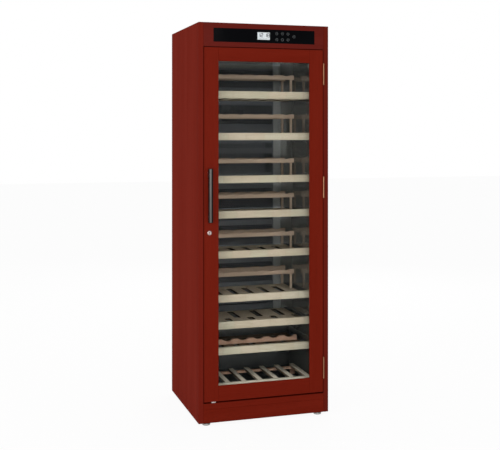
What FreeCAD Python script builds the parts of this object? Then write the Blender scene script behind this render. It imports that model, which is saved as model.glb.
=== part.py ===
import FreeCAD, Part
import os
import re

import Sketcher

# A free-standing wine cabinet: a stained wooden carcass round an insulated liner, a framed glass door
# on three butt hinges, eight sliding bottle shelves over a fixed bottom rack, and the cooling machinery.
# Millimetres. X runs across the front, Y from front to back and Z up from the floor; the origin is on
# the floor under the middle of the whole cabinet, handle included.

SIZES = {
    # Carcass
    "cabinet_width": 650,
    "cabinet_depth": 575,
    "body_height": 1875,
    "side_thickness": 24,
    "top_thickness": 24,
    "base_thickness": 18,
    "back_thickness": 3,
    "plinth_height": 63,
    "plinth_thickness": 20,
    "sill_height": 28,
    "fascia_height": 113,
    "fascia_thickness": 20,
    "board_edge": 1.2,
    # Levelling feet
    "foot_height": 15,
    "foot_gap": 0.3,
    "foot_radius": 19.5,
    "foot_stem_radius": 5,
    "foot_stem_length": 32,
    "foot_stem_play": 0.4,
    "foot_inset_side": 45,
    "foot_inset_front": 31,
    # Door frame and glazing
    "door_gap": 3,
    "door_sill_gap": 7,
    "door_thickness": 38,
    "stile_width": 70,
    "top_rail_width": 64,
    "bottom_rail_width": 73,
    "rebate_lip": 6,
    "glass_rebate": 22,
    "glass_play": 2,
    "glass_thickness": 4,
    "glass_cavity": 14,
    "spacer_width": 7,
    "bead_width": 9,
    # Door seal
    "gasket_width": 14,
    "gasket_thickness": 5.7,
    "gasket_inset": 7,
    "gasket_groove": 2,
    "seal_gap": 0.3,
    # Hinges
    "hinge_length": 100,
    "hinge_leaf_width": 30,
    "hinge_leaf_thickness": 1.2,
    "knuckle_radius": 3.5,
    "knuckle_offset": 4.2,
    "knuckle_gap": 0.3,
    "knuckle_relief": 0.4,
    "hinge_pin_radius": 1.7,
    "hinge_pin_play": 0.1,
    "hinge_low": 216.5,
    "hinge_middle": 1093,
    "hinge_high_drop": 233,
    # Handle
    "handle_reach": 31,
    "handle_length": 253,
    "handle_bottom": 938,
    "handle_inset": 23,
    "handle_width": 16,
    "handle_depth": 11,
    "handle_edge": 1.5,
    "post_width": 12,
    "post_height": 32,
    "post_inset": 10,
    # Lock
    "lock_height": 889,
    "lock_inset": 26,
    "lock_flange_radius": 10.5,
    "lock_flange_thickness": 2.5,
    "lock_barrel_radius": 9.5,
    "lock_barrel_length": 19,
    "lock_barrel_play": 0.2,
    "lock_plug_radius": 6.5,
    "lock_plug_play": 0.08,
    "keyway_width": 2.2,
    "keyway_height": 8,
    "keyway_depth": 7,
    "cam_length": 37,
    "cam_width": 10,
    "cam_thickness": 2.5,
    "cam_play": 1.5,
    "strike_thickness": 1.5,
    "strike_margin": 10,
    # Control panel
    "panel_side": 48,
    "panel_height": 65,
    "panel_drop": 90,
    "panel_thickness": 4,
    "panel_recess": 3,
    "display_width": 62,
    "display_height": 35,
    "display_centre": -6,
    "display_rise": 15.5,
    "display_depth": 24,
    "display_inset": 0.2,
    "display_play": 1,
    "key_radius": 6.5,
    "key_thickness": 0.5,
    "key_first": 60,
    "key_pitch": 28.5,
    "key_last": 147,
    "key_low": 18,
    "key_high": 46.5,
    "key_middle": 34,
    "control_box_width": 210,
    "control_box_height": 72,
    "control_box_depth": 42,
    "control_box_drop": 101,
    # Insulated liner
    "liner_wall": 36,
    "liner_back_wall": 32,
    "cavity_floor": 115,
    "ceiling_drop": 150,
    "hump_depth": 135,
    "hump_height": 285,
    "hump_wall": 22,
    "duct_recess": 16,
    "duct_recess_side": 17,
    "duct_recess_rise": 60,
    "duct_recess_drop": 85,
    # Air duct cover and what it hides
    "duct_side": 43,
    "duct_depth": 12,
    "duct_sheet": 1.5,
    "duct_rise": 10,
    "duct_drop": 25,
    "vent_size": 18,
    "vent_stagger": 18,
    "vent_pitch": 64,
    "vent_columns": 6,
    "vent_first": 70,
    "vent_last": 100,
    "vent_bands": 5,
    "evaporator_side": 25,
    "evaporator_height": 300,
    "evaporator_gap": 10,
    "cold_plate_sheet": 2,
    "cold_plate_channel": 8,
    "evaporator_runs": 7,
    "fan_size": 120,
    "fan_depth": 22,
    "fan_drop": 250,
    "fan_bore_radius": 56,
    "fan_motor_radius": 20,
    "fan_motor_depth": 6,
    "fan_spoke_width": 8,
    "fan_spindle_radius": 3,
    "fan_spindle_play": 0.08,
    "impeller_radius": 52,
    "impeller_hub_radius": 18,
    "impeller_gap": 0.6,
    "impeller_depth": 12,
    "blade_thickness": 2,
    "impeller_blades": 7,
    "light_side": 20,
    "light_depth": 12,
    "light_thickness": 8,
    "light_setback": 12,
    # Machine compartment
    "compressor_radius": 58,
    "compressor_height": 176,
    "compressor_lid_radius": 44,
    "compressor_lid_height": 14,
    "machine_inset": 166,
    "mount_width": 180,
    "mount_depth": 116,
    "mount_thickness": 2.5,
    "grommet_size": 22,
    "grommet_height": 14,
    "grommet_inset": 16,
    "terminal_width": 22,
    "terminal_depth": 34,
    "terminal_height": 48,
    "terminal_rise": 60,
    "condenser_width": 210,
    "condenser_height": 240,
    "condenser_runs": 8,
    "condenser_standoff": 20,
    "grille_inset": 2,
    "slot_width": 190,
    "slot_height": 8,
    "slot_pitch": 26,
    "slot_gap": 52,
    "slot_rows": 10,
    "slot_first": 60,
    "inlet_width": 48,
    "inlet_height": 28,
    "inlet_depth": 24,
    "inlet_inset": 61,
    "inlet_rise": 20,
    "inlet_wall": 4,
    "inlet_socket_depth": 16,
    "inlet_pin_length": 10,
    "inlet_pin_width": 4,
    # Shelves
    "shelf_side_gap": 4,
    "shelf_setback": 17,
    "strip_height": 35,
    "strip_thickness": 20,
    "strip_edge": 1.5,
    "deck_drop": 24,
    "deck_thickness": 11,
    "deck_depth": 343,
    "deck_hump_gap": 20,
    "deck_front_rail": 20,
    "deck_rear_rail": 62,
    "slat_width": 53,
    "stagger_side": 11.5,
    "stagger_width": 27,
    "stagger_front": 155,
    "stagger_rear": 160,
    "shelf_1_share": 0.8732,
    "shelf_2_share": 0.7223,
    "shelf_3_share": 0.5675,
    "shelf_4_share": 0.4408,
    "shelf_5_share": 0.2966,
    "shelf_6_share": 0.1389,
    "shelf_7_over_hump": 21,
    "shelf_8_height": 219,
    # Upper bottle rack of a shelf
    "rack_front": 190,
    "rack_pitch": 133,
    "post_size": 16,
    "rack_post_inset": 31,
    "bar_1_lift": 71,
    "bar_2_lift": 72,
    "bar_3_lift": 52,
    "bar_4_lift": 43,
    "bar_5_lift": 39,
    "bar_6_lift": 52,
    "bar_height": 22,
    "bar_inset": 16,
    "bar_dip": 4,
    "bottle_radius": 40,
    "cradle_front": 138,
    "cradle_thickness": 16,
    "cradle_height": 24,
    "cradle_dip": 10,
    "cradle_gap": 3,
    # Shelf runners
    "runner_reach": 22,
    "runner_sheet": 1.5,
    "runner_play": 0.5,
    "runner_setback": 5,
    "runner_past_deck": 10,
    # Bottom rack
    "rack_floor_top": 165,
    "rack_rail_side": 6.5,
    "rack_floor_setback": 8,
    "rack_floor_depth": 256,
    "rack_floor_slat": 28,
    "rack_floor_slat_thickness": 12,
    "rack_floor_rail": 18,
    "rack_floor_cross_width": 24,
    "rack_floor_cross_thickness": 10,
    "rack_floor_foot": 24,
    # Door rest
    "rest_pad_side": 48,
    "rest_pad_width": 20,
    "rest_pad_depth": 26,
    "rest_pad_gap": 0.3,
}

document = FreeCAD.newDocument("WineCabinet")
sheet = document.addObject("Spreadsheet::Sheet", "Sizes")
for row, (alias, number) in enumerate(SIZES.items(), 1):
    sheet.set(f"A{row}", alias)
    sheet.set(f"B{row}", str(number))
    sheet.setAlias(f"B{row}", alias)
document.recompute()


def formula(text):
    """Point every size word of a formula at its cell in the sheet."""
    return re.sub(r"[A-Za-z]\w*", lambda word: f"Sizes.{word[0]}" if word[0] in SIZES else word[0], str(text))


def value(text):
    """The number that a formula gives now."""
    return float(sheet.evalExpression(formula(text)))


def bind(piece, **formulas):
    """Tie properties of a piece to formulas of sizes."""
    for name, text in formulas.items():
        piece.setExpression(name, formula(text))


def place(piece, x, y, z):
    """Tie a piece's place to formulas of sizes."""
    for axis, text in zip("xyz", (x, y, z)):
        piece.setExpression(f"Placement.Base.{axis}", formula(text))


def block(label, x, y, z):
    """A square-edged block; each axis is (start, length)."""
    piece = document.addObject("Part::Box", label)
    bind(piece, Length=x[1], Width=y[1], Height=z[1])
    place(piece, x[0], y[0], z[0])
    return piece


def board(label, x, y, z, edge="board_edge"):
    """A board with all its edges broken; each axis is (start, length)."""
    body = document.addObject("PartDesign::Body", label)
    plank = body.newObject("PartDesign::AdditiveBox", f"{label}_plank")
    bind(plank, Length=x[1], Width=y[1], Height=z[1])
    document.recompute()
    broken = body.newObject("PartDesign::Chamfer", f"{label}_edges")
    broken.Base = (plank, ["Face1"])
    broken.UseAllEdges = True
    bind(broken, Size=edge)
    place(body, x[0], y[0], z[0])
    return body


def carve(body, name, x, y, z):
    """Cut a square hollow into a board; each axis is (start, length) from the board's own corner."""
    hollow = body.newObject("PartDesign::SubtractiveBox", name)
    bind(hollow, Length=x[1], Width=y[1], Height=z[1])
    place(hollow, x[0], y[0], z[0])
    return hollow


TURNS = {
    "x": FreeCAD.Rotation(FreeCAD.Vector(0, 1, 0), 90),
    "y": FreeCAD.Rotation(FreeCAD.Vector(1, 0, 0), -90),
    "z": FreeCAD.Rotation(),
}


def rod(label, radius, length, at, along):
    """A round rod that starts at a point and runs the positive way along one axis."""
    piece = document.addObject("Part::Cylinder", label)
    piece.Placement = FreeCAD.Placement(FreeCAD.Vector(), TURNS[along])
    bind(piece, Radius=radius, Height=length)
    place(piece, *at)
    return piece


def cut(label, base, *tools):
    """What is left of one shape when others are taken from it."""
    piece = document.addObject("Part::Cut", label)
    piece.Base = base
    piece.Tool = tools[0] if len(tools) == 1 else group(f"{label}_tools", tools)
    return piece


def fuse(label, *shapes):
    """Several shapes made one solid."""
    piece = document.addObject("Part::MultiFuse", label)
    piece.Shapes = list(shapes)
    piece.Refine = True
    return piece


def group(label, pieces):
    """Separate solids that share one node."""
    piece = document.addObject("Part::Compound", label)
    piece.Links = list(pieces)
    return piece


def frame_ring(label, x, y, z, width):
    """A flat rectangular ring in the plane of the front; each axis is (start, length)."""
    outer = block(f"{label}_outer", x, y, z)
    inner = block(
        f"{label}_inner",
        (f"{x[0]} + {width}", f"{x[1]} - 2 * {width}"),
        y,
        (f"{z[0]} + {width}", f"{z[1]} - 2 * {width}"),
    )
    return cut(label, outer, inner)


PLANES = {"x": ("YZ_Plane", 1), "y": ("XZ_Plane", -1), "z": ("XY_Plane", 1)}


def sketch_across(body, name, axis, level="0"):
    """An empty sketch square to one axis of its body, at a level along that axis."""
    role, sense = PLANES[axis]
    sketch = body.newObject("Sketcher::SketchObject", name)
    plane = next(feature for feature in body.Origin.OriginFeatures if feature.Role == role)
    sketch.AttachmentSupport = [(plane, "")]
    sketch.MapMode = "FlatFace"
    sketch.setExpression("AttachmentOffset.Base.z", formula(f"{sense} * ({level})"))
    return sketch


def fix_point(sketch, geometry, position, x, y):
    """Hold one point of a sketch at formulas of sizes from the sketch's origin."""
    for kind, text in (("DistanceX", x), ("DistanceY", y)):
        held = sketch.addConstraint(Sketcher.Constraint(kind, -1, 1, geometry, position, value(text)))
        sketch.setExpression(f"Constraints[{held}]", formula(text))


def draw_outline(sketch, points):
    """A closed outline of straight edges through points that formulas give."""
    first = sketch.GeometryCount
    corners = [FreeCAD.Vector(value(x), value(y), 0) for x, y in points]
    for start, end in zip(corners, corners[1:] + corners[:1]):
        sketch.addGeometry(Part.LineSegment(start, end), False)
    for index in range(len(points)):
        following = first + (index + 1) % len(points)
        sketch.addConstraint(Sketcher.Constraint("Coincident", first + index, 2, following, 1))
    for index, (x, y) in enumerate(points):
        fix_point(sketch, first + index, 1, x, y)


def draw_circle(sketch, x, y, radius):
    """A circle whose centre and radius formulas give."""
    circle = Part.Circle(FreeCAD.Vector(value(x), value(y), 0), FreeCAD.Vector(0, 0, 1), value(radius))
    index = sketch.addGeometry(circle, False)
    fix_point(sketch, index, 3, x, y)
    held = sketch.addConstraint(Sketcher.Constraint("Radius", index, value(radius)))
    sketch.setExpression(f"Constraints[{held}]", formula(radius))


def pad(body, sketch, axis, length):
    """Raise a sketch the positive way along the axis that it is square to."""
    feature = body.newObject("PartDesign::Pad", f"{sketch.Name}_pad")
    feature.Profile = sketch
    feature.Reversed = axis == "y"
    bind(feature, Length=length)
    return feature


def pocket(body, sketch, axis, length):
    """Cut a sketch the positive way along the axis that it is square to."""
    feature = body.newObject("PartDesign::Pocket", f"{sketch.Name}_pocket")
    feature.Profile = sketch
    feature.Reversed = axis != "y"
    bind(feature, Length=length)
    return feature


def row_pattern(body, original, direction, length, occurrences):
    """Repeat a feature in a straight row."""
    feature = body.newObject("PartDesign::LinearPattern", f"{original.Name}_row")
    feature.Originals = [original]
    feature.Direction = direction
    bind(feature, Length=length, Occurrences=occurrences)
    body.Tip = feature
    return feature


def spread(count):
    """Places of evenly spaced copies on both sides of the middle, in pitches."""
    return [index - (count - 1) / 2 for index in range(count)]


# Faces that several pieces share, as formulas
FRONT = "(handle_reach - cabinet_depth) / 2"
BACK = "(handle_reach + cabinet_depth) / 2"
BAY_WIDTH = "(cabinet_width - 2 * side_thickness)"
BAY_LEFT = "(side_thickness - cabinet_width / 2)"
BAY_RIGHT = "(cabinet_width / 2 - side_thickness)"
DOOR_WIDTH = f"({BAY_WIDTH} - 2 * door_gap)"
DOOR_LEFT = f"({BAY_LEFT} + door_gap)"
DOOR_FOOT = "(plinth_height + sill_height + door_sill_gap)"
DOOR_BOTTOM = f"(foot_height + {DOOR_FOOT})"
DOOR_HEIGHT = f"(body_height - fascia_height - door_gap - {DOOR_FOOT})"
LINER_FRONT = f"({FRONT} + door_thickness + gasket_thickness + seal_gap)"
LINER_BACK = f"({BACK} - back_thickness)"
LINER_BOTTOM = "(foot_height + cavity_floor - liner_wall)"
CAVITY_HALF = f"({BAY_RIGHT} - liner_wall)"
CAVITY_BACK = f"({LINER_BACK} - liner_back_wall)"
CAVITY_FLOOR = "(foot_height + cavity_floor)"
CAVITY_CEILING = "(foot_height + body_height - ceiling_drop)"
LINER_TOP = f"({CAVITY_CEILING} + liner_wall)"
HUMP_FRONT = f"({CAVITY_BACK} - hump_depth)"
HUMP_TOP = f"({CAVITY_FLOOR} + hump_height)"
MACHINE_TOP = f"({HUMP_TOP} - hump_wall)"
BASE_TOP = "(foot_height + base_thickness)"
SHELF_FRONT = f"({FRONT} + door_thickness + shelf_setback)"
SHELF_WIDTH = f"(2 * ({CAVITY_HALF} - shelf_side_gap))"
RACK_WIDTH = f"(2 * ({CAVITY_HALF} - rack_rail_side))"
BOTTLE_PITCH = f"(({RACK_WIDTH} - rack_floor_slat) / 6)"

# Carcass: two full-height sides; the top, base, plinth, sill and fascia are housed between them
side_panels = {}
for side, start in (("left", "-cabinet_width / 2"), ("right", BAY_RIGHT)):
    side_panels[side] = board(
        f"side_panel_{side}",
        (start, "side_thickness"),
        (FRONT, "cabinet_depth"),
        ("foot_height", "body_height"),
    )
board(
    "top_panel",
    (BAY_LEFT, BAY_WIDTH),
    (f"{FRONT} + fascia_thickness", "cabinet_depth - fascia_thickness"),
    ("foot_height + body_height - top_thickness", "top_thickness"),
)
base_panel = board(
    "base_panel",
    (BAY_LEFT, BAY_WIDTH),
    (f"{FRONT} + plinth_thickness", "cabinet_depth - plinth_thickness"),
    ("foot_height", "base_thickness"),
)
board(
    "plinth_board",
    (BAY_LEFT, BAY_WIDTH),
    (FRONT, "plinth_thickness"),
    ("foot_height", "plinth_height"),
)
board(
    "bottom_rail",
    (BAY_LEFT, BAY_WIDTH),
    (FRONT, f"{LINER_FRONT} - {FRONT}"),
    ("foot_height + plinth_height", "sill_height"),
)
board(
    "back_panel",
    (BAY_LEFT, BAY_WIDTH),
    (LINER_BACK, "back_thickness"),
    (MACHINE_TOP, f"foot_height + body_height - top_thickness - {MACHINE_TOP}"),
    edge="back_thickness / 4",
)

# Levelling feet: a pad with a finely faceted rim to grip, and a stem that screws up through the base panel
FEET = {
    "front_left": ("foot_inset_side - cabinet_width / 2", f"{FRONT} + foot_inset_front"),
    "front_right": ("cabinet_width / 2 - foot_inset_side", f"{FRONT} + foot_inset_front"),
    "rear_left": ("foot_inset_side - cabinet_width / 2", f"{BACK} - foot_inset_front"),
    "rear_right": ("cabinet_width / 2 - foot_inset_side", f"{BACK} - foot_inset_front"),
}
foot_holes = sketch_across(base_panel, "foot_holes", "z")
for name, (x, y) in FEET.items():
    foot_pad = document.addObject("Part::Prism", f"foot_pad_{name}")
    foot_pad.Polygon = 24
    bind(foot_pad, Circumradius="foot_radius", Height="foot_height - foot_gap")
    place(foot_pad, x, y, "0")
    foot_stem = rod(
        f"foot_stem_{name}",
        "foot_stem_radius",
        "foot_stem_length",
        (x, y, "foot_height - foot_gap"),
        "z",
    )
    fuse(f"foot_{name}", foot_pad, foot_stem)
    hole_x = f"{x} - {BAY_LEFT}"
    hole_y = f"{y} - ({FRONT} + plinth_thickness)"
    draw_circle(foot_holes, hole_x, hole_y, "foot_stem_radius + foot_stem_play")
pocket(base_panel, foot_holes, "z", "base_thickness")

# Fascia: the board over the door, with a shallow bed for the control glass and a window behind the display
FASCIA_BOTTOM = "(foot_height + body_height - fascia_height)"
PANEL_BOTTOM = "(foot_height + body_height - panel_drop)"
PANEL_WIDTH = f"({BAY_WIDTH} - 2 * panel_side)"
DISPLAY_LEFT = "(display_centre - display_width / 2)"
DISPLAY_BOTTOM = f"({PANEL_BOTTOM} + display_rise)"
fascia = board(
    "fascia_board",
    (BAY_LEFT, BAY_WIDTH),
    (FRONT, "fascia_thickness"),
    (FASCIA_BOTTOM, "fascia_height"),
)
carve(
    fascia,
    "glass_bed",
    ("panel_side", PANEL_WIDTH),
    ("0", "panel_recess"),
    (f"{PANEL_BOTTOM} - {FASCIA_BOTTOM}", "panel_height"),
)
carve(
    fascia,
    "display_window",
    (f"{DISPLAY_LEFT} - display_play - {BAY_LEFT}", "display_width + 2 * display_play"),
    ("0", "fascia_thickness"),
    (f"{DISPLAY_BOTTOM} - display_play - {FASCIA_BOTTOM}", "display_height + 2 * display_play"),
)

# Control glass with the display set in it, touch keys printed on it and the electronics box behind
PANEL_FRONT = f"({FRONT} + panel_recess - panel_thickness)"
control_glass = board(
    "control_glass",
    (f"-{PANEL_WIDTH} / 2", PANEL_WIDTH),
    (PANEL_FRONT, "panel_thickness"),
    (PANEL_BOTTOM, "panel_height"),
    edge="panel_thickness / 8",
)
carve(
    control_glass,
    "display_opening",
    (f"{DISPLAY_LEFT} + {PANEL_WIDTH} / 2", "display_width"),
    ("0", "panel_thickness"),
    ("display_rise", "display_height"),
)
block(
    "display",
    (DISPLAY_LEFT, "display_width"),
    (f"{PANEL_FRONT} + display_inset", "display_depth"),
    (DISPLAY_BOTTOM, "display_height"),
)
keys = [("key_last", "key_middle")]
for column in range(3):
    keys += [(f"key_first + {column} * key_pitch", height) for height in ("key_low", "key_high")]
key_marks = []
for index, (x, height) in enumerate(keys, 1):
    mark = document.addObject("Part::Prism", f"touch_key_{index}")
    mark.Polygon = 8
    mark.Placement = FreeCAD.Placement(FreeCAD.Vector(), TURNS["y"])
    bind(mark, Circumradius="key_radius", Height="key_thickness")
    place(mark, x, f"{PANEL_FRONT} - key_thickness", f"{PANEL_BOTTOM} + {height}")
    key_marks.append(mark)
group("touch_keys", key_marks)
CONTROL_BOX_BOTTOM = "(foot_height + body_height - control_box_drop)"
control_box = board(
    "control_box",
    ("display_centre - control_box_width / 2", "control_box_width"),
    (f"{FRONT} + fascia_thickness", "control_box_depth"),
    (CONTROL_BOX_BOTTOM, "control_box_height"),
    edge="board_edge",
)
carve(
    control_box,
    "display_bay",
    ("(control_box_width - display_width) / 2 - display_play", "display_width + 2 * display_play"),
    ("0", f"{PANEL_FRONT} + display_inset + display_depth - {FRONT} - fascia_thickness"),
    (f"{DISPLAY_BOTTOM} - display_play - {CONTROL_BOX_BOTTOM}", "display_height + 2 * display_play"),
)

# Insulated liner: one foamed shell, open to the front, stepped over the machine compartment at the back
liner = document.addObject("PartDesign::Body", "insulated_liner")
shell_side = sketch_across(liner, "liner_outside", "x", BAY_LEFT)
draw_outline(
    shell_side,
    [
        (LINER_FRONT, LINER_BOTTOM),
        (f"{HUMP_FRONT} + hump_wall", LINER_BOTTOM),
        (f"{HUMP_FRONT} + hump_wall", MACHINE_TOP),
        (LINER_BACK, MACHINE_TOP),
        (LINER_BACK, LINER_TOP),
        (LINER_FRONT, LINER_TOP),
    ],
)
pad(liner, shell_side, "x", BAY_WIDTH)
cavity_side = sketch_across(liner, "liner_cavity", "x", f"-{CAVITY_HALF}")
draw_outline(
    cavity_side,
    [
        (LINER_FRONT, CAVITY_FLOOR),
        (HUMP_FRONT, CAVITY_FLOOR),
        (HUMP_FRONT, HUMP_TOP),
        (CAVITY_BACK, HUMP_TOP),
        (CAVITY_BACK, CAVITY_CEILING),
        (LINER_FRONT, CAVITY_CEILING),
    ],
)
pocket(liner, cavity_side, "x", f"2 * {CAVITY_HALF}")
DUCT_WIDTH = f"(2 * ({CAVITY_HALF} - duct_side))"
CHANNEL_WIDTH = f"({DUCT_WIDTH} - 2 * duct_recess_side)"
CHANNEL_BOTTOM = f"({HUMP_TOP} + duct_recess_rise)"
carve(
    liner,
    "duct_channel",
    (f"-{CHANNEL_WIDTH} / 2", CHANNEL_WIDTH),
    (CAVITY_BACK, "duct_recess"),
    (CHANNEL_BOTTOM, f"{CAVITY_CEILING} - duct_recess_drop - {CHANNEL_BOTTOM}"),
)

# Air duct cover: a folded pan with staggered bands of diamond vents
DUCT_BOTTOM = f"({HUMP_TOP} + duct_rise)"
DUCT_FRONT = f"({CAVITY_BACK} - duct_depth)"
DUCT_HEIGHT = f"({CAVITY_CEILING} - duct_drop - {DUCT_BOTTOM})"
duct = board(
    "duct_panel",
    (f"-{DUCT_WIDTH} / 2", DUCT_WIDTH),
    (DUCT_FRONT, "duct_depth"),
    (DUCT_BOTTOM, DUCT_HEIGHT),
    edge="duct_sheet / 2",
)
carve(
    duct,
    "pan_hollow",
    ("duct_sheet", f"{DUCT_WIDTH} - 2 * duct_sheet"),
    ("duct_sheet", "duct_depth"),
    ("duct_sheet", f"{DUCT_HEIGHT} - 2 * duct_sheet"),
)
vents = sketch_across(duct, "vents", "y")
for shift, rise in (("0", "0"), ("vent_pitch / 2", "vent_stagger")):
    middle = f"{DUCT_WIDTH} / 2 - vent_pitch * vent_columns / 2 + vent_pitch / 4 + {shift}"
    height = f"vent_first + {rise}"
    draw_outline(
        vents,
        [
            (f"{middle} - vent_size / 2", height),
            (middle, f"{height} - vent_size / 2"),
            (f"{middle} + vent_size / 2", height),
            (middle, f"{height} + vent_size / 2"),
        ],
    )
vent_pocket = pocket(duct, vents, "y", "duct_sheet")
vent_field = duct.newObject("PartDesign::MultiTransform", "vent_field")
vent_field.Originals = [vent_pocket]
vent_row = duct.newObject("PartDesign::LinearPattern", "vent_row")
vent_row.Direction = (vents, ["H_Axis"])
bind(vent_row, Length="vent_pitch * (vent_columns - 1)", Occurrences="vent_columns")
vent_stack = duct.newObject("PartDesign::LinearPattern", "vent_stack")
vent_stack.Direction = (vents, ["V_Axis"])
bind(vent_stack, Length=f"{DUCT_HEIGHT} - vent_first - vent_last", Occurrences="vent_bands")
vent_field.Transformations = [vent_row, vent_stack]
duct.Tip = vent_field


def serpentine_plate(label, middle, width, back, bottom, height, runs):
    """A plate with one long channel raised on its front, back and forth from side to side."""
    pitch = f"(({height} - cold_plate_channel) / ({runs} - 1))"
    left = f"{middle} - {width} / 2"
    raised = (f"{back} - cold_plate_sheet - cold_plate_channel", "cold_plate_channel + cold_plate_sheet / 2")
    sheet_depth = (f"{back} - cold_plate_sheet", "cold_plate_sheet")
    parts = [block(f"{label}_plate", (left, width), sheet_depth, (bottom, height))]
    for run in range(int(value(runs))):
        level = f"{bottom} + {run} * {pitch}"
        parts.append(block(f"{label}_run_{run}", (left, width), raised, (level, "cold_plate_channel")))
        if run:
            side = left if run % 2 else f"{left} + {width} - cold_plate_channel"
            link = (f"{level} - {pitch}", pitch)
            parts.append(block(f"{label}_link_{run}", (side, "cold_plate_channel"), raised, link))
    return fuse(label, *parts)


# Evaporator: a cold plate on the back of the duct channel, under the fan
CHANNEL_BACK = f"({CAVITY_BACK} + duct_recess)"
FAN_HEIGHT = f"({CAVITY_CEILING} - fan_drop)"
serpentine_plate(
    "evaporator",
    "0",
    f"({CHANNEL_WIDTH} - 2 * evaporator_side)",
    CHANNEL_BACK,
    f"({FAN_HEIGHT} - fan_size / 2 - evaporator_gap - evaporator_height)",
    "evaporator_height",
    "evaporator_runs",
)

# Circulation fan: a square frame with a motor on spokes, and a bladed impeller on its spindle
FAN_FRONT = f"({CHANNEL_BACK} - fan_depth)"
fan_frame = block(
    "fan_frame",
    ("-fan_size / 2", "fan_size"),
    (FAN_FRONT, "fan_depth"),
    (f"{FAN_HEIGHT} - fan_size / 2", "fan_size"),
)
fan_bore = rod("fan_bore", "fan_bore_radius", "fan_depth", ("0", FAN_FRONT, FAN_HEIGHT), "y")
MOTOR_FRONT = f"({CHANNEL_BACK} - fan_motor_depth)"
spokes = [
    block(
        f"fan_spoke_{name}",
        (f"-{width} / 2", width),
        (f"{CHANNEL_BACK} - fan_motor_depth / 2", "fan_motor_depth / 2"),
        (f"{FAN_HEIGHT} - {height} / 2", height),
    )
    for name, width, height in (
        ("across", "(fan_size - 1)", "fan_spoke_width"),
        ("upright", "fan_spoke_width", "(fan_size - 1)"),
    )
]
fuse(
    "fan_housing",
    cut("fan_ring", fan_frame, fan_bore),
    *spokes,
    rod("fan_motor", "fan_motor_radius", "fan_motor_depth", ("0", MOTOR_FRONT, FAN_HEIGHT), "y"),
    rod(
        "fan_spindle",
        "fan_spindle_radius",
        "impeller_depth + fan_motor_depth",
        ("0", f"{MOTOR_FRONT} - impeller_depth", FAN_HEIGHT),
        "y",
    ),
)
impeller = document.addObject("PartDesign::Body", "fan_impeller")
hub = sketch_across(impeller, "impeller_hub", "y")
draw_circle(hub, "0", "0", "impeller_hub_radius")
draw_circle(hub, "0", "0", "fan_spindle_radius + fan_spindle_play")
pad(impeller, hub, "y", "impeller_depth - impeller_gap")
blade = sketch_across(impeller, "impeller_blade", "y")
draw_outline(
    blade,
    [
        ("impeller_hub_radius - 1", "0"),
        ("impeller_radius * 0.65", "impeller_radius * 0.13"),
        ("impeller_radius * 0.93", "impeller_radius * 0.33"),
        ("impeller_radius * 0.93 - blade_thickness / 2", "impeller_radius * 0.33 + blade_thickness"),
        ("impeller_radius * 0.65 - blade_thickness / 2", "impeller_radius * 0.13 + blade_thickness"),
        ("impeller_hub_radius - 1", "blade_thickness"),
    ],
)
blade_pad = pad(impeller, blade, "y", "impeller_depth - impeller_gap")
blades = impeller.newObject("PartDesign::PolarPattern", "impeller_blades_round")
blades.Originals = [blade_pad]
blades.Axis = (blade, ["N_Axis"])
blades.Angle = 360
bind(blades, Occurrences="impeller_blades")
impeller.Tip = blades
place(impeller, "0", f"{MOTOR_FRONT} - impeller_depth", FAN_HEIGHT)

# Light strip under the liner's ceiling, behind the door
board(
    "light_strip",
    (f"light_side - {CAVITY_HALF}", f"2 * ({CAVITY_HALF} - light_side)"),
    (f"{LINER_FRONT} + light_setback", "light_depth"),
    (f"{CAVITY_CEILING} - light_thickness", "light_thickness"),
)

# Compressor: a welded can with a raised lid, on a mounting plate with four rubber grommets
MACHINE_MIDDLE = f"(({HUMP_FRONT} + hump_wall + {LINER_BACK}) / 2)"
MACHINE_SIDE = f"({BAY_RIGHT} - machine_inset)"
MOUNT_BOTTOM = f"({BASE_TOP} + grommet_height)"
GROMMET_X = "(mount_width / 2 - grommet_inset)"
GROMMET_Y = "(mount_depth / 2 - grommet_inset)"
CAN_BOTTOM = f"({MOUNT_BOTTOM} + mount_thickness)"
can = fuse(
    "compressor_can",
    rod(
        "can_shell",
        "compressor_radius",
        "compressor_height",
        (MACHINE_SIDE, MACHINE_MIDDLE, CAN_BOTTOM),
        "z",
    ),
    rod(
        "can_lid",
        "compressor_lid_radius",
        "compressor_lid_height",
        (MACHINE_SIDE, MACHINE_MIDDLE, f"{CAN_BOTTOM} + compressor_height"),
        "z",
    ),
)
mount_plate = block(
    "compressor_mount",
    (f"{MACHINE_SIDE} - mount_width / 2", "mount_width"),
    (f"{MACHINE_MIDDLE} - mount_depth / 2", "mount_depth"),
    (MOUNT_BOTTOM, "mount_thickness"),
)
grommets = [
    block(
        f"grommet_{index}",
        (f"{MACHINE_SIDE} + {across} * {GROMMET_X} - grommet_size / 2", "grommet_size"),
        (f"{MACHINE_MIDDLE} + {along} * {GROMMET_Y} - grommet_size / 2", "grommet_size"),
        (BASE_TOP, "grommet_height"),
    )
    for index, (across, along) in enumerate(((-1, -1), (-1, 1), (1, -1), (1, 1)), 1)
]
terminal_cover = block(
    "terminal_cover",
    (f"{MACHINE_SIDE} - compressor_radius - terminal_width", "terminal_width"),
    (f"{MACHINE_MIDDLE} - terminal_depth / 2", "terminal_depth"),
    (f"{MOUNT_BOTTOM} + terminal_rise", "terminal_height"),
)
group("compressor", [can, mount_plate, *grommets, cut("terminal_box", terminal_cover, can)])

# Condenser: a warm plate of the same make, standing on the base panel beside the compressor
serpentine_plate(
    "condenser",
    f"(-{MACHINE_SIDE})",
    "condenser_width",
    f"({LINER_BACK} - condenser_standoff)",
    BASE_TOP,
    "condenser_height",
    "condenser_runs",
)

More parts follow.
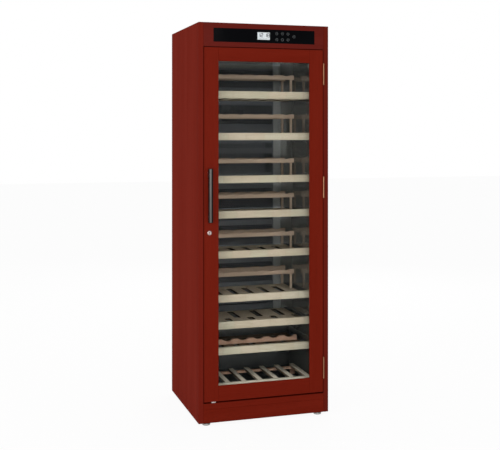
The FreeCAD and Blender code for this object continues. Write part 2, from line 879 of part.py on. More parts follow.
# Rear grille: a slotted sheet that closes the machine compartment, with the power inlet set in it
GRILLE_FRONT = f"({BACK} - grille_inset - back_thickness)"
grille = board(
    "rear_grille",
    (BAY_LEFT, BAY_WIDTH),
    (GRILLE_FRONT, "back_thickness"),
    (BASE_TOP, f"{MACHINE_TOP} - {BASE_TOP}"),
    edge="back_thickness / 4",
)
slots = sketch_across(grille, "grille_slots", "y")
for side in (-1, 1):
    middle = f"{BAY_WIDTH} / 2 + {side} * (slot_width + slot_gap) / 2"
    draw_outline(
        slots,
        [
            (f"{middle} - slot_width / 2", "slot_first"),
            (f"{middle} + slot_width / 2", "slot_first"),
            (f"{middle} + slot_width / 2", "slot_first + slot_height"),
            (f"{middle} - slot_width / 2", "slot_first + slot_height"),
        ],
    )
slot_pocket = pocket(grille, slots, "y", "back_thickness")
row_pattern(grille, slot_pocket, (slots, ["V_Axis"]), "slot_pitch * (slot_rows - 1)", "slot_rows")
INLET_SIDE = f"({BAY_RIGHT} - inlet_inset)"
carve(
    grille,
    "inlet_hole",
    (f"{INLET_SIDE} - inlet_width / 2 + inlet_wall - {BAY_LEFT}", "inlet_width - 2 * inlet_wall"),
    ("0", "back_thickness"),
    ("inlet_rise + inlet_wall", "inlet_height - 2 * inlet_wall"),
)
INLET_BOTTOM = f"({BASE_TOP} + inlet_rise)"
inlet_flange = block(
    "inlet_flange",
    (f"{INLET_SIDE} - inlet_width / 2", "inlet_width"),
    (f"{BACK} - grille_inset", "grille_inset"),
    (INLET_BOTTOM, "inlet_height"),
)
inlet_can = block(
    "inlet_can",
    (f"{INLET_SIDE} - inlet_width / 2 + inlet_wall", "inlet_width - 2 * inlet_wall"),
    (f"{BACK} - inlet_depth", "inlet_depth"),
    (f"{INLET_BOTTOM} + inlet_wall", "inlet_height - 2 * inlet_wall"),
)
inlet_socket = block(
    "inlet_socket",
    (f"{INLET_SIDE} - inlet_width / 2 + 1.5 * inlet_wall", "inlet_width - 3 * inlet_wall"),
    (f"{BACK} - inlet_socket_depth", "inlet_socket_depth"),
    (f"{INLET_BOTTOM} + 1.5 * inlet_wall", "inlet_height - 3 * inlet_wall"),
)
inlet_pins = [
    block(
        f"inlet_pin_{index}",
        (f"{INLET_SIDE} + {shift} * inlet_width / 5 - inlet_pin_width / 4", "inlet_pin_width / 2"),
        (f"{BACK} - inlet_socket_depth", "inlet_pin_length"),
        (f"{INLET_BOTTOM} + inlet_height / 2 - inlet_pin_width / 2 + {rise}", "inlet_pin_width"),
    )
    for index, (shift, rise) in enumerate(((-1, "0"), (0, "2"), (1, "0")), 1)
]
inlet_shell = cut("inlet_shell", fuse("inlet_body", inlet_flange, inlet_can), inlet_socket)
fuse("power_inlet", inlet_shell, *inlet_pins)

# Door frame: two stiles and two rails, rebated behind a front lip for the double glazing
REBATE_BOTTOM = "bottom_rail_width - glass_rebate"
REBATE_HEIGHT = f"{DOOR_HEIGHT} - top_rail_width - bottom_rail_width + 2 * glass_rebate"
REBATE_DEPTH = ("rebate_lip", "door_thickness - rebate_lip")
stiles = {}
for side, start, rebate_start in (
    ("left", DOOR_LEFT, "stile_width - glass_rebate"),
    ("right", f"{DOOR_LEFT} + {DOOR_WIDTH} - stile_width", "0"),
):
    stiles[side] = board(
        f"door_stile_{side}",
        (start, "stile_width"),
        (FRONT, "door_thickness"),
        (DOOR_BOTTOM, DOOR_HEIGHT),
    )
    carve(
        stiles[side],
        f"rebate_{side}",
        (rebate_start, "glass_rebate"),
        REBATE_DEPTH,
        (REBATE_BOTTOM, REBATE_HEIGHT),
    )
for name, start, width, rebate_start in (
    ("top", f"{DOOR_BOTTOM} + {DOOR_HEIGHT} - top_rail_width", "top_rail_width", "0"),
    ("bottom", DOOR_BOTTOM, "bottom_rail_width", REBATE_BOTTOM),
):
    rail = board(
        f"door_rail_{name}",
        (f"{DOOR_LEFT} + stile_width", f"{DOOR_WIDTH} - 2 * stile_width"),
        (FRONT, "door_thickness"),
        (start, width),
    )
    carve(
        rail,
        f"rebate_{name}",
        ("0", f"{DOOR_WIDTH} - 2 * stile_width"),
        REBATE_DEPTH,
        (rebate_start, "glass_rebate"),
    )

# Glazing: two panes held apart and held in by a black frame of spacer bars and a bead behind the inner pane
GLASS_LEFT = f"{DOOR_LEFT} + stile_width - glass_rebate + glass_play"
GLASS_WIDTH = f"{DOOR_WIDTH} - 2 * stile_width + 2 * glass_rebate - 2 * glass_play"
GLASS_BOTTOM = f"{DOOR_BOTTOM} + {REBATE_BOTTOM} + glass_play"
GLASS_HEIGHT = f"{REBATE_HEIGHT} - 2 * glass_play"
GLASS_FRONT = f"{FRONT} + rebate_lip"
for name, depth in (("outer", "0"), ("inner", "glass_thickness + glass_cavity")):
    block(
        f"glass_{name}",
        (GLASS_LEFT, GLASS_WIDTH),
        (f"{GLASS_FRONT} + {depth}", "glass_thickness"),
        (GLASS_BOTTOM, GLASS_HEIGHT),
    )
BEAD_START = "(2 * glass_thickness + glass_cavity)"
group(
    "glazing_frame",
    [
        frame_ring(
            "spacer_bars",
            (GLASS_LEFT, GLASS_WIDTH),
            (f"{GLASS_FRONT} + glass_thickness", "glass_cavity"),
            (GLASS_BOTTOM, GLASS_HEIGHT),
            "spacer_width",
        ),
        frame_ring(
            "glazing_bead",
            (f"{GLASS_LEFT} - glass_play", f"{GLASS_WIDTH} + 2 * glass_play"),
            (f"{GLASS_FRONT} + {BEAD_START}", f"door_thickness - rebate_lip - {BEAD_START}"),
            (f"{GLASS_BOTTOM} - glass_play", f"{GLASS_HEIGHT} + 2 * glass_play"),
            "bead_width",
        ),
    ],
)

# Door seal: a magnetic strip all round the back of the door, grooved along its middle
gasket_edges = (
    (f"{DOOR_LEFT} + gasket_inset", f"{DOOR_WIDTH} - 2 * gasket_inset"),
    (f"{FRONT} + door_thickness", "gasket_thickness"),
    (f"{DOOR_BOTTOM} + gasket_inset / 3", f"{DOOR_HEIGHT} - gasket_inset / 1.5"),
)
groove_shift = "gasket_width / 2 - gasket_groove / 2"
cut(
    "door_gasket",
    frame_ring("gasket_strip", *gasket_edges, "gasket_width"),
    frame_ring(
        "gasket_slot",
        (f"{gasket_edges[0][0]} + {groove_shift}", f"{gasket_edges[0][1]} - gasket_width + gasket_groove"),
        (f"{FRONT} + door_thickness + gasket_thickness - gasket_groove", "gasket_groove"),
        (f"{gasket_edges[2][0]} + {groove_shift}", f"{gasket_edges[2][1]} - gasket_width + gasket_groove"),
        "gasket_groove",
    ),
)

# Butt hinges: leaves in the gap beside the door, knuckles and pin standing proud of the front
HINGE_X = f"({BAY_RIGHT} - door_gap / 2)"
HINGE_Y = f"({FRONT} - knuckle_offset)"
knuckle_length = "(hinge_length - 2 * knuckle_gap) / 3"
frame_leaves = []
door_leaves = []
hinge_heights = {
    "low": "hinge_low",
    "middle": "hinge_middle",
    "high": "body_height - hinge_high_drop",
}
for level, centre in hinge_heights.items():
    start = f"foot_height + {centre} - hinge_length / 2"
    leaves = (("frame", f"{BAY_RIGHT} - hinge_leaf_thickness"), ("door", f"{BAY_RIGHT} - door_gap"))
    for owner, leaf_x in leaves:
        parts = [
            block(
                f"{owner}_leaf_{level}",
                (leaf_x, "hinge_leaf_thickness"),
                (f"{HINGE_Y} + knuckle_radius + knuckle_relief", "hinge_leaf_width"),
                (start, "hinge_length"),
            )
        ]
        for index in (0, 2) if owner == "frame" else (1,):
            height = f"{start} + {index} * ({knuckle_length} + knuckle_gap)"
            parts.append(
                rod(
                    f"{owner}_knuckle_{level}_{index}",
                    "knuckle_radius",
                    knuckle_length,
                    (HINGE_X, HINGE_Y, height),
                    "z",
                )
            )
            parts.append(
                block(
                    f"{owner}_web_{level}_{index}",
                    (leaf_x, "hinge_leaf_thickness"),
                    (HINGE_Y, "knuckle_radius + knuckle_relief + 1"),
                    (height, knuckle_length),
                )
            )
        if owner == "frame":
            pin_start = (HINGE_X, HINGE_Y, start)
            parts.append(rod(f"hinge_pin_{level}", "hinge_pin_radius", "hinge_length", pin_start, "z"))
            frame_leaves.append(fuse(f"frame_hinge_{level}", *parts))
        else:
            pin_hole = rod(
                f"pin_hole_{level}",
                "hinge_pin_radius + hinge_pin_play",
                "hinge_length",
                (HINGE_X, HINGE_Y, start),
                "z",
            )
            leaf_blank = fuse(f"door_hinge_blank_{level}", *parts)
            door_leaves.append(cut(f"door_hinge_{level}", leaf_blank, pin_hole))
group("hinge_frame_leaves", frame_leaves)
group("hinge_door_leaves", door_leaves)

# Handle: an upright bar on two posts, on the free stile
HANDLE_X = f"({DOOR_LEFT} + handle_inset)"
HANDLE_BOTTOM = "(foot_height + handle_bottom)"
board(
    "handle_bar",
    (f"{HANDLE_X} - handle_width / 2", "handle_width"),
    (f"{FRONT} - handle_reach", "handle_depth"),
    (HANDLE_BOTTOM, "handle_length"),
    edge="handle_edge",
)
group(
    "handle_posts",
    [
        block(
            f"handle_post_{name}",
            (f"{HANDLE_X} - post_width / 2", "post_width"),
            (f"{FRONT} - handle_reach + handle_depth", "handle_reach - handle_depth"),
            (f"{HANDLE_BOTTOM} + {rise}", "post_height"),
        )
        for name, rise in (("low", "post_inset"), ("high", "handle_length - post_inset - post_height"))
    ],
)

# Lock: a flanged barrel in the free stile, a keyed plug with a cam, and a strike in the left side panel
LOCK_X = f"({DOOR_LEFT} + lock_inset)"
LOCK_Z = "(foot_height + lock_height)"
LOCK_FRONT = f"({FRONT} - lock_flange_thickness)"
CAM_Y = f"({FRONT} + lock_barrel_length + cam_play / 2)"
lock_body = fuse(
    "lock_body",
    rod("lock_flange", "lock_flange_radius", "lock_flange_thickness", (LOCK_X, LOCK_FRONT, LOCK_Z), "y"),
    rod("lock_barrel", "lock_barrel_radius", "lock_barrel_length", (LOCK_X, FRONT, LOCK_Z), "y"),
)
lock_bore = rod(
    "lock_bore",
    "lock_plug_radius + lock_plug_play",
    "lock_flange_thickness + lock_barrel_length",
    (LOCK_X, LOCK_FRONT, LOCK_Z),
    "y",
)
cut("lock_housing", lock_body, lock_bore)
lock_plug = rod(
    "lock_plug",
    "lock_plug_radius",
    f"{CAM_Y} - {LOCK_FRONT}",
    (LOCK_X, LOCK_FRONT, LOCK_Z),
    "y",
)
lock_cam = block(
    "lock_cam",
    (f"{LOCK_X} - cam_width / 2", "cam_width"),
    (CAM_Y, "cam_thickness"),
    (f"{LOCK_Z} - cam_length", "cam_length + cam_width / 2"),
)
keyway = block(
    "keyway",
    (f"{LOCK_X} - keyway_width / 2", "keyway_width"),
    (LOCK_FRONT, "keyway_depth"),
    (f"{LOCK_Z} - keyway_height / 2", "keyway_height"),
)
cut("lock_cylinder", fuse("lock_plug_and_cam", lock_plug, lock_cam), keyway)
barrel_hole = sketch_across(stiles["left"], "barrel_hole", "y")
LOCK_RISE = f"lock_height - {DOOR_FOOT}"
draw_circle(barrel_hole, "lock_inset", LOCK_RISE, "lock_barrel_radius + lock_barrel_play")
pocket(stiles["left"], barrel_hole, "y", "lock_barrel_length + cam_play")
CAM_SPACE = "cam_thickness + 1.5 * cam_play"
carve(
    stiles["left"],
    "cam_pocket",
    ("0", "lock_inset + lock_barrel_radius"),
    ("lock_barrel_length", CAM_SPACE),
    (f"{LOCK_RISE} - cam_length - cam_play", "cam_length + cam_play + lock_barrel_radius"),
)
cam_slot = (
    ("lock_barrel_length", CAM_SPACE),
    ("lock_height - cam_length + strike_margin", "cam_length + cam_width / 2 + cam_play - strike_margin"),
)
carve(
    side_panels["left"],
    "cam_slot",
    ("side_thickness + door_gap + lock_inset - cam_length - 2 * cam_play", "cam_length + 2 * cam_play"),
    *cam_slot,
)
strike_plate = (
    ("lock_barrel_length - strike_margin / 2", f"{CAM_SPACE} + strike_margin"),
    (f"{cam_slot[1][0]} - strike_margin", f"{cam_slot[1][1]} + 2 * strike_margin"),
)
strike_depth = ("side_thickness - strike_thickness", "strike_thickness")
carve(side_panels["left"], "strike_bed", strike_depth, *strike_plate)
strike_blank = block(
    "strike_blank",
    (f"{BAY_LEFT} - strike_thickness", "strike_thickness"),
    (f"{FRONT} + {strike_plate[0][0]}", strike_plate[0][1]),
    (f"foot_height + {strike_plate[1][0]}", strike_plate[1][1]),
)
strike_slot = block(
    "strike_slot",
    (f"{BAY_LEFT} - strike_thickness", "strike_thickness"),
    (f"{FRONT} + {cam_slot[0][0]}", cam_slot[0][1]),
    (f"foot_height + {cam_slot[1][0]}", cam_slot[1][1]),
)
cut("lock_strike", strike_blank, strike_slot)

# Door rest: a nylon pad on the sill that the closed door's free corner rides onto
board(
    "door_rest_pad",
    (f"{DOOR_LEFT} + rest_pad_side - rest_pad_width / 2", "rest_pad_width"),
    (f"{FRONT} + door_thickness - rest_pad_depth - rebate_lip", "rest_pad_depth"),
    ("foot_height + plinth_height + sill_height", "door_sill_gap - rest_pad_gap"),
)


def deck_slats(number, back, depth, top):
    """Front-to-back slats between a front and a rear rail; the outer two reach out into the runners."""
    pieces = []
    count = 6
    for index, step in enumerate(spread(count)):
        left = f"{step} * {BOTTLE_PITCH} - slat_width / 2"
        width = "slat_width"
        if index == 0:
            left = f"-{SHELF_WIDTH} / 2"
            width = f"{SHELF_WIDTH} / 2 + {step} * {BOTTLE_PITCH} + slat_width / 2"
        elif index == count - 1:
            width = f"{SHELF_WIDTH} / 2 - ({left})"
        pieces.append(
            block(
                f"shelf_{number}_slat_{index + 1}",
                (left, width),
                (f"{back} + deck_front_rail", f"{depth} - deck_front_rail - deck_rear_rail"),
                (f"{top} - deck_drop - deck_thickness", "deck_thickness"),
            )
        )
    return pieces


def scalloped_bar(label, length, y, z, thickness, height, dip):
    """A bar across the shelf whose top is hollowed once for each bottle."""
    bar = block(f"{label}_blank", (f"-{length} / 2", length), (y, thickness), (z, height))
    hollows = [
        rod(
            f"{label}_hollow_{index}",
            "bottle_radius",
            thickness,
            (f"{step} * {BOTTLE_PITCH}", y, f"{z} + {height} - {dip} + bottle_radius"),
            "y",
        )
        for index, step in enumerate(spread(6), 1)
    ]
    return cut(label, bar, *hollows)


# Shelves: a pale laminated front strip and a slatted deck on each
# Six of them carry a raised rack for a second layer of bottles
DECK_FRONT = f"({SHELF_FRONT} + strip_thickness)"
CRADLE_LENGTH = f"(2 * ({CAVITY_HALF} - runner_reach - cradle_gap))"
runner_height = "(deck_thickness + 2 * runner_play + 2 * runner_sheet)"
STAGGER_PITCH = f"(({SHELF_WIDTH} - 2 * stagger_side - stagger_width) / 4)"
SHORT_DEPTH = f"({HUMP_FRONT} - deck_hump_gap - {DECK_FRONT})"
BACK_WALL_HEIGHT = f"({CAVITY_CEILING} - {HUMP_TOP})"
shelf_tops = [f"({HUMP_TOP} + shelf_{number}_share * {BACK_WALL_HEIGHT})" for number in range(1, 7)]
shelf_tops.append(f"({HUMP_TOP} + shelf_7_over_hump + deck_thickness + deck_drop)")
shelf_tops.append(f"({CAVITY_FLOOR} + shelf_8_height)")
runners = []
for number, top in enumerate(shelf_tops, 1):
    depth = SHORT_DEPTH if number == 8 else "deck_depth"
    board(
        f"shelf_{number}_front",
        (f"-{SHELF_WIDTH} / 2", SHELF_WIDTH),
        (SHELF_FRONT, "strip_thickness"),
        (f"{top} - strip_height", "strip_height"),
        edge="strip_edge",
    )
    deck_level = (f"{top} - deck_drop - deck_thickness", "deck_thickness")
    deck_top = f"{top} - deck_drop"
    if number == 7:
        deck = board(
            "shelf_7_deck",
            (f"-{SHELF_WIDTH} / 2", SHELF_WIDTH),
            (DECK_FRONT, depth),
            deck_level,
            edge="deck_thickness / 10",
        )
        for row, count, start, length in (
            ("front", 5, "deck_front_rail", "stagger_front"),
            ("rear", 4, f"{depth} - deck_front_rail / 2 - stagger_rear", "stagger_rear"),
        ):
            for index, step in enumerate(spread(count), 1):
                carve(
                    deck,
                    f"{row}_slot_{index}",
                    (f"{SHELF_WIDTH} / 2 + {step} * {STAGGER_PITCH} - stagger_width / 2", "stagger_width"),
                    (start, length),
                    ("0", "deck_thickness"),
                )
    else:
        across = (f"-{SHELF_WIDTH} / 2", SHELF_WIDTH)
        pieces = [
            block(f"shelf_{number}_front_rail", across, (DECK_FRONT, "deck_front_rail"), deck_level),
            block(
                f"shelf_{number}_rear_rail",
                across,
                (f"{DECK_FRONT} + {depth} - deck_rear_rail", "deck_rear_rail"),
                deck_level,
            ),
        ]
        pieces += deck_slats(number, DECK_FRONT, depth, top)
        if number == 8:
            pieces.append(
                scalloped_bar(
                    "shelf_8_cradle",
                    CRADLE_LENGTH,
                    f"{DECK_FRONT} + cradle_front",
                    deck_top,
                    "cradle_thickness",
                    "cradle_height",
                    "cradle_dip",
                )
            )
        else:
            for row, y in (("front", "rack_front"), ("rear", "rack_front + rack_pitch")):
                for side in (-1, 1):
                    pieces.append(
                        block(
                            f"shelf_{number}_post_{row}_{side}",
                            (f"{side} * ({SHELF_WIDTH} / 2 - rack_post_inset) - post_size / 2", "post_size"),
                            (f"{DECK_FRONT} + {y}", "post_size"),
                            (deck_top, f"deck_drop + bar_{number}_lift"),
                        )
                    )
                pieces.append(
                    scalloped_bar(
                        f"shelf_{number}_bar_{row}",
                        f"({SHELF_WIDTH} - 2 * bar_inset)",
                        f"{DECK_FRONT} + {y}",
                        f"{top} + bar_{number}_lift",
                        "post_size",
                        "bar_height",
                        "bar_dip",
                    )
                )
        group(f"shelf_{number}_deck", pieces)
    for side in (-1, 1):
        outer = f"-{CAVITY_HALF}" if side < 0 else f"{CAVITY_HALF} - runner_reach"
        inner = f"runner_sheet - {CAVITY_HALF}" if side < 0 else f"{CAVITY_HALF} - runner_reach"
        length = (f"{DECK_FRONT} + runner_setback", f"{depth} + runner_past_deck - runner_setback")
        channel = block(
            f"runner_{number}_{side}_bar",
            (outer, "runner_reach"),
            length,
            (f"{deck_level[0]} - runner_play - runner_sheet", runner_height),
        )
        groove = block(
            f"runner_{number}_{side}_groove",
            (inner, "runner_reach - runner_sheet"),
            length,
            (f"{deck_level[0]} - runner_play", "deck_thickness + 2 * runner_play"),
        )
        runners.append(cut(f"runner_{number}_{'left' if side < 0 else 'right'}", channel, groove))
group("shelf_runners", runners)

# Bottom rack: seven slats on a front rail and a rear cross batten, which stands on two feet
RACK_FRONT = f"({LINER_FRONT} + rack_floor_setback)"
RACK_TOP = "(foot_height + rack_floor_top)"
CROSS_LENGTHWISE = (f"{RACK_FRONT} + rack_floor_depth - rack_floor_cross_width", "rack_floor_cross_width")
CROSS_BOTTOM = f"({RACK_TOP} - rack_floor_slat_thickness - rack_floor_cross_thickness)"
rack_pieces = [
    block(
        "rack_front_rail",
        (f"-{RACK_WIDTH} / 2", RACK_WIDTH),
        (RACK_FRONT, "rack_floor_rail"),
        (CAVITY_FLOOR, f"{RACK_TOP} - {CAVITY_FLOOR}"),
    ),
    block(
        "rack_cross_batten",
        (f"-{RACK_WIDTH} / 2", RACK_WIDTH),
        CROSS_LENGTHWISE,
        (CROSS_BOTTOM, "rack_floor_cross_thickness"),
    ),
    block(
        "rack_foot_left",
        (f"-{RACK_WIDTH} / 2", "rack_floor_foot"),
        CROSS_LENGTHWISE,
        (CAVITY_FLOOR, f"{CROSS_BOTTOM} - {CAVITY_FLOOR}"),
    ),
    block(
        "rack_foot_right",
        (f"{RACK_WIDTH} / 2 - rack_floor_foot", "rack_floor_foot"),
        CROSS_LENGTHWISE,
        (CAVITY_FLOOR, f"{CROSS_BOTTOM} - {CAVITY_FLOOR}"),
    ),
]
for index, step in enumerate(spread(7), 1):
    rack_pieces.append(
        block(
            f"rack_slat_{index}",
            (f"{step} * {BOTTLE_PITCH} - rack_floor_slat / 2", "rack_floor_slat"),
            (f"{RACK_FRONT} + rack_floor_rail", "rack_floor_depth - rack_floor_rail"),
            (f"{RACK_TOP} - rack_floor_slat_thickness", "rack_floor_slat_thickness"),
        )
    )
group("bottom_rack", rack_pieces)

NODES = [
    "side_panel_left",
    "side_panel_right",
    "top_panel",
    "fascia_board",
    "plinth_board",
    "bottom_rail",
    "base_panel",
    "back_panel",
    "rear_grille",
    "power_inlet",
    "insulated_liner",
    "duct_panel",
    "evaporator",
    "fan_housing",
    "fan_impeller",
    "compressor",
    "condenser",
    "light_strip",
    "control_glass",
    "display",
    "touch_keys",
    "control_box",
    "shelf_runners",
    "bottom_rack",
    "door_rest_pad",
    "lock_strike",
    "hinge_frame_leaves",
    "hinge_door_leaves",
    "door_stile_left",
    "door_stile_right",
    "door_rail_top",
    "door_rail_bottom",
    "glass_outer",
    "glass_inner",
    "glazing_frame",
    "door_gasket",
    "handle_bar",
    "handle_posts",
    "lock_housing",
    "lock_cylinder",
]
NODES += [f"foot_{name}" for name in FEET]
NODES += [f"shelf_{number}_{piece}" for number in range(1, 9) for piece in ("front", "deck")]

document.recompute()
for piece in document.Objects:
    if "Invalid" in piece.State or "Error" in piece.State:
        raise RuntimeError(f"{piece.Label} did not build: {piece.State}")

os.makedirs("parts", exist_ok=True)
for node in NODES:
    (piece,) = document.getObjectsByLabel(node)
    if piece.Shape.isNull() or not piece.Shape.isValid():
        raise RuntimeError(f"{node} has no valid shape")
    piece.Shape.exportStep(f"parts/{node}.step")
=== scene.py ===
import math

import bpy
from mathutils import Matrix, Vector


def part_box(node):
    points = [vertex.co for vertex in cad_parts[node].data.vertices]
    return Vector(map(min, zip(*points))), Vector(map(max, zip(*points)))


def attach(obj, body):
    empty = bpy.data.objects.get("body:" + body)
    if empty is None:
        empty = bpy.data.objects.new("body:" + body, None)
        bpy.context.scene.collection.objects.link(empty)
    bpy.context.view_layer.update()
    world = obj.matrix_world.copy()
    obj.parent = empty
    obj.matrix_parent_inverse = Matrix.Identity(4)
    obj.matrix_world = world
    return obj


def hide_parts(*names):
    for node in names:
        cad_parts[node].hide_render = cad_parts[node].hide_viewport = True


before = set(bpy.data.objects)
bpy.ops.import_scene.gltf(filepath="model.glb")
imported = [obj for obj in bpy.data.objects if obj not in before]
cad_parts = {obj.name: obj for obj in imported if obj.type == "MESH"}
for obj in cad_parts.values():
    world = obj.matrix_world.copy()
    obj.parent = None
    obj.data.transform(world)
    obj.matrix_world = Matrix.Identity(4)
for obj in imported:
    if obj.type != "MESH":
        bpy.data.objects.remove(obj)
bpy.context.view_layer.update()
scene = bpy.context.scene

# Studio: a level camera off the left front corner, a pale floor, and soft lamps on both sides
# The floor and the world read as white to the camera, and the floor keeps the cabinet's shadow


def tint(red, green, blue):
    """A colour as it looks on a screen, 0 to 255 a channel, as a shader colour."""
    channels = [channel / 255 for channel in (red, green, blue)]
    return tuple(c / 12.92 if c <= 0.04045 else ((c + 0.055) / 1.055) ** 2.4 for c in channels) + (1.0,)


def feed(tree, node, inputs):
    """Fill or wire the sockets of a node."""
    for name, source in inputs.items():
        if isinstance(source, bpy.types.NodeSocket):
            tree.links.new(source, node.inputs[name])
        else:
            node.inputs[name].default_value = source


def add_node(tree, kind, inputs=None, **settings):
    """A shader node with its settings made and its sockets filled or wired."""
    node = tree.nodes.new("ShaderNode" + kind)
    for name, setting in settings.items():
        setattr(node, name, setting)
    feed(tree, node, inputs or {})
    return node


def calculate(tree, operation, first, second=0.0, third=0.0):
    """The result of one sum on numbers or sockets."""
    return add_node(tree, "Math", {0: first, 1: second, 2: third}, operation=operation).outputs[0]


def seen_directly(tree):
    """One for camera, mirror and glass rays, and nought for the light that falls on the object."""
    ray = add_node(tree, "LightPath").outputs
    shown = calculate(tree, "MAXIMUM", ray["Is Camera Ray"], ray["Is Glossy Ray"])
    return calculate(tree, "MAXIMUM", shown, ray["Is Transmission Ray"])


camera_spot = (-1.354, -4.369, 1.381)
camera_turn = math.radians(-17.35)
bpy.ops.object.camera_add(location=camera_spot, rotation=(math.radians(90), 0, camera_turn))
camera = bpy.context.object
camera.data.sensor_width = 36
camera.data.lens = 65.2
camera.data.shift_y = -0.188
scene.camera = camera
scene.view_settings.view_transform = "Standard"

lamp_size = 2.4
lamps = {
    "left_lamp": ((-3.6, -2.6, 1.5), (-0.2, -0.1, 0.9), 56),
    "front_lamp": ((-0.3, -4.3, 1.3), (0.0, -0.2, 0.9), 36),
    "rear_lamp": ((1.6, 3.6, 2.6), (0.0, 0.2, 1.0), 60),
}
for name, (location, aim, watts) in lamps.items():
    bpy.ops.object.light_add(type="AREA", location=location)
    lamp = bpy.context.object
    lamp.name = name
    lamp.data.size = lamp_size
    lamp.data.energy = watts
    lamp.rotation_euler = (Vector(aim) - Vector(location)).to_track_quat("-Z", "Y").to_euler()

air_light = 0.62
world = bpy.data.worlds.new("studio_air")
scene.world = world
world.use_nodes = True
air = world.node_tree
air.nodes.clear()
soft_air = add_node(air, "Background", {"Color": (1, 1, 1, 1), "Strength": air_light}).outputs[0]
white_air = add_node(air, "Background", {"Color": (1, 1, 1, 1), "Strength": 1.0}).outputs[0]
mixed_air = add_node(air, "MixShader", {0: seen_directly(air), 1: soft_air, 2: white_air}).outputs[0]
add_node(air, "OutputWorld", {"Surface": mixed_air})

floor_size = 40
floor_whitening = 0.94
bpy.ops.mesh.primitive_plane_add(size=floor_size)
floor = bpy.context.object
floor.name = "studio_floor"
floor_paint = bpy.data.materials.new("floor_paint")
floor_paint.use_nodes = True
ground = floor_paint.node_tree
ground.nodes.clear()
lit_floor = add_node(ground, "BsdfDiffuse", {"Color": tint(245, 245, 245)}).outputs[0]
white_floor = add_node(ground, "Emission", {"Color": (1, 1, 1, 1), "Strength": 1.0}).outputs[0]
whitened = calculate(ground, "MULTIPLY", seen_directly(ground), floor_whitening)
mixed_floor = add_node(ground, "MixShader", {0: whitened, 1: lit_floor, 2: white_floor}).outputs[0]
add_node(ground, "OutputMaterial", {"Surface": mixed_floor})
floor.data.materials.append(floor_paint)

# Carcass: stained and lacquered boards, two full-height sides with the top, base, plinth and sill between
# The grain runs up the sides and along the boards between them, under a thin satin lacquer
# The sides are painted darker towards their front edges, and all over on the right, as painted shade


def effect_group(name, takes, gives):
    """An empty group of shader nodes with named sockets, what enters it and its last node."""
    tree = bpy.data.node_groups.new(name, "ShaderNodeTree")
    for socket, kind in takes.items():
        tree.interface.new_socket(socket, in_out="INPUT", socket_type="NodeSocket" + kind)
    for socket, kind in gives.items():
        tree.interface.new_socket(socket, in_out="OUTPUT", socket_type="NodeSocket" + kind)
    return tree, tree.nodes.new("NodeGroupInput").outputs, tree.nodes.new("NodeGroupOutput")


def place_group(tree, group, inputs):
    """One use of a group of shader nodes, with its own values."""
    return add_node(tree, "Group", inputs, node_tree=group).outputs


def blend_colours(tree, factor, first, second):
    """Two colours mixed by a factor."""
    return add_node(tree, "Mix", {0: factor, 6: first, 7: second}, data_type="RGBA").outputs[2]


def narrow(tree, source, low, high, to_low=0.0, to_high=1.0):
    """A value stretched from one range to another and kept inside it."""
    inputs = {"Value": source, "From Min": low, "From Max": high, "To Min": to_low, "To Max": to_high}
    return add_node(tree, "MapRange", inputs).outputs[0]


def noise(tree, vector, scale, **others):
    """The value of a cloudy noise."""
    return add_node(tree, "TexNoise", {"Vector": vector, "Scale": scale, **others}).outputs[0]


def new_finish(name):
    """A new material, its nodes, its shader and the place on the object."""
    finish = bpy.data.materials.new(name)
    finish.use_nodes = True
    return finish, *reopen(finish)


def reopen(finish):
    """The nodes of a finish, its shader and the place on the object."""
    tree = finish.node_tree
    place = add_node(tree, "TexCoord").outputs["Object"]
    return tree, tree.nodes["Principled BSDF"], place


def overlay(tree, shader, *layers):
    """Lay other tints over the colour that a shader has so far, each through its mask."""
    colour = shader.inputs["Base Color"].links[0].from_socket
    for mask, shade in layers:
        colour = blend_colours(tree, mask, colour, tint(*shade))
    feed(tree, shader, {"Base Color": colour})


grain_group, grain_in, grain_out = effect_group(
    "wood_grain",
    {"Vector": "Vector", "Figure Scale": "Float", "Fibre Scale": "Float"},
    {"Figure": "Float", "Fibre": "Float", "Pores": "Float", "Height": "Float"},
)
figure_stretch = (1, 1, 0.045)
fibre_stretch = (1, 1, 0.02)
pore_fineness = 2.7
long_way, thin_way = [
    add_node(grain_group, "Mapping", {"Vector": grain_in["Vector"], "Scale": stretch}).outputs[0]
    for stretch in (figure_stretch, fibre_stretch)
]
broad = noise(grain_group, long_way, grain_in["Figure Scale"], Detail=4.0, Roughness=0.55, Distortion=0.6)
fine = noise(grain_group, thin_way, grain_in["Fibre Scale"], Detail=3.0, Roughness=0.6, Distortion=0.2)
pore_scale = calculate(grain_group, "MULTIPLY", grain_in["Fibre Scale"], pore_fineness)
pores = narrow(grain_group, noise(grain_group, thin_way, pore_scale, Detail=1.0), 0.63, 0.74)
grain_results = {
    "Figure": narrow(grain_group, broad, 0.3, 0.7),
    "Fibre": narrow(grain_group, fine, 0.3, 0.7),
    "Pores": pores,
    "Height": calculate(grain_group, "SUBTRACT", fine, pores),
}
feed(grain_group, grain_out, grain_results)

ALONG = {"x": (0, math.radians(90), 0), "y": (math.radians(90), 0, 0), "z": (0, 0, 0)}
figure_scale = 16
fibre_scale = 330
figure_share = 0.65
pore_share = 0.5


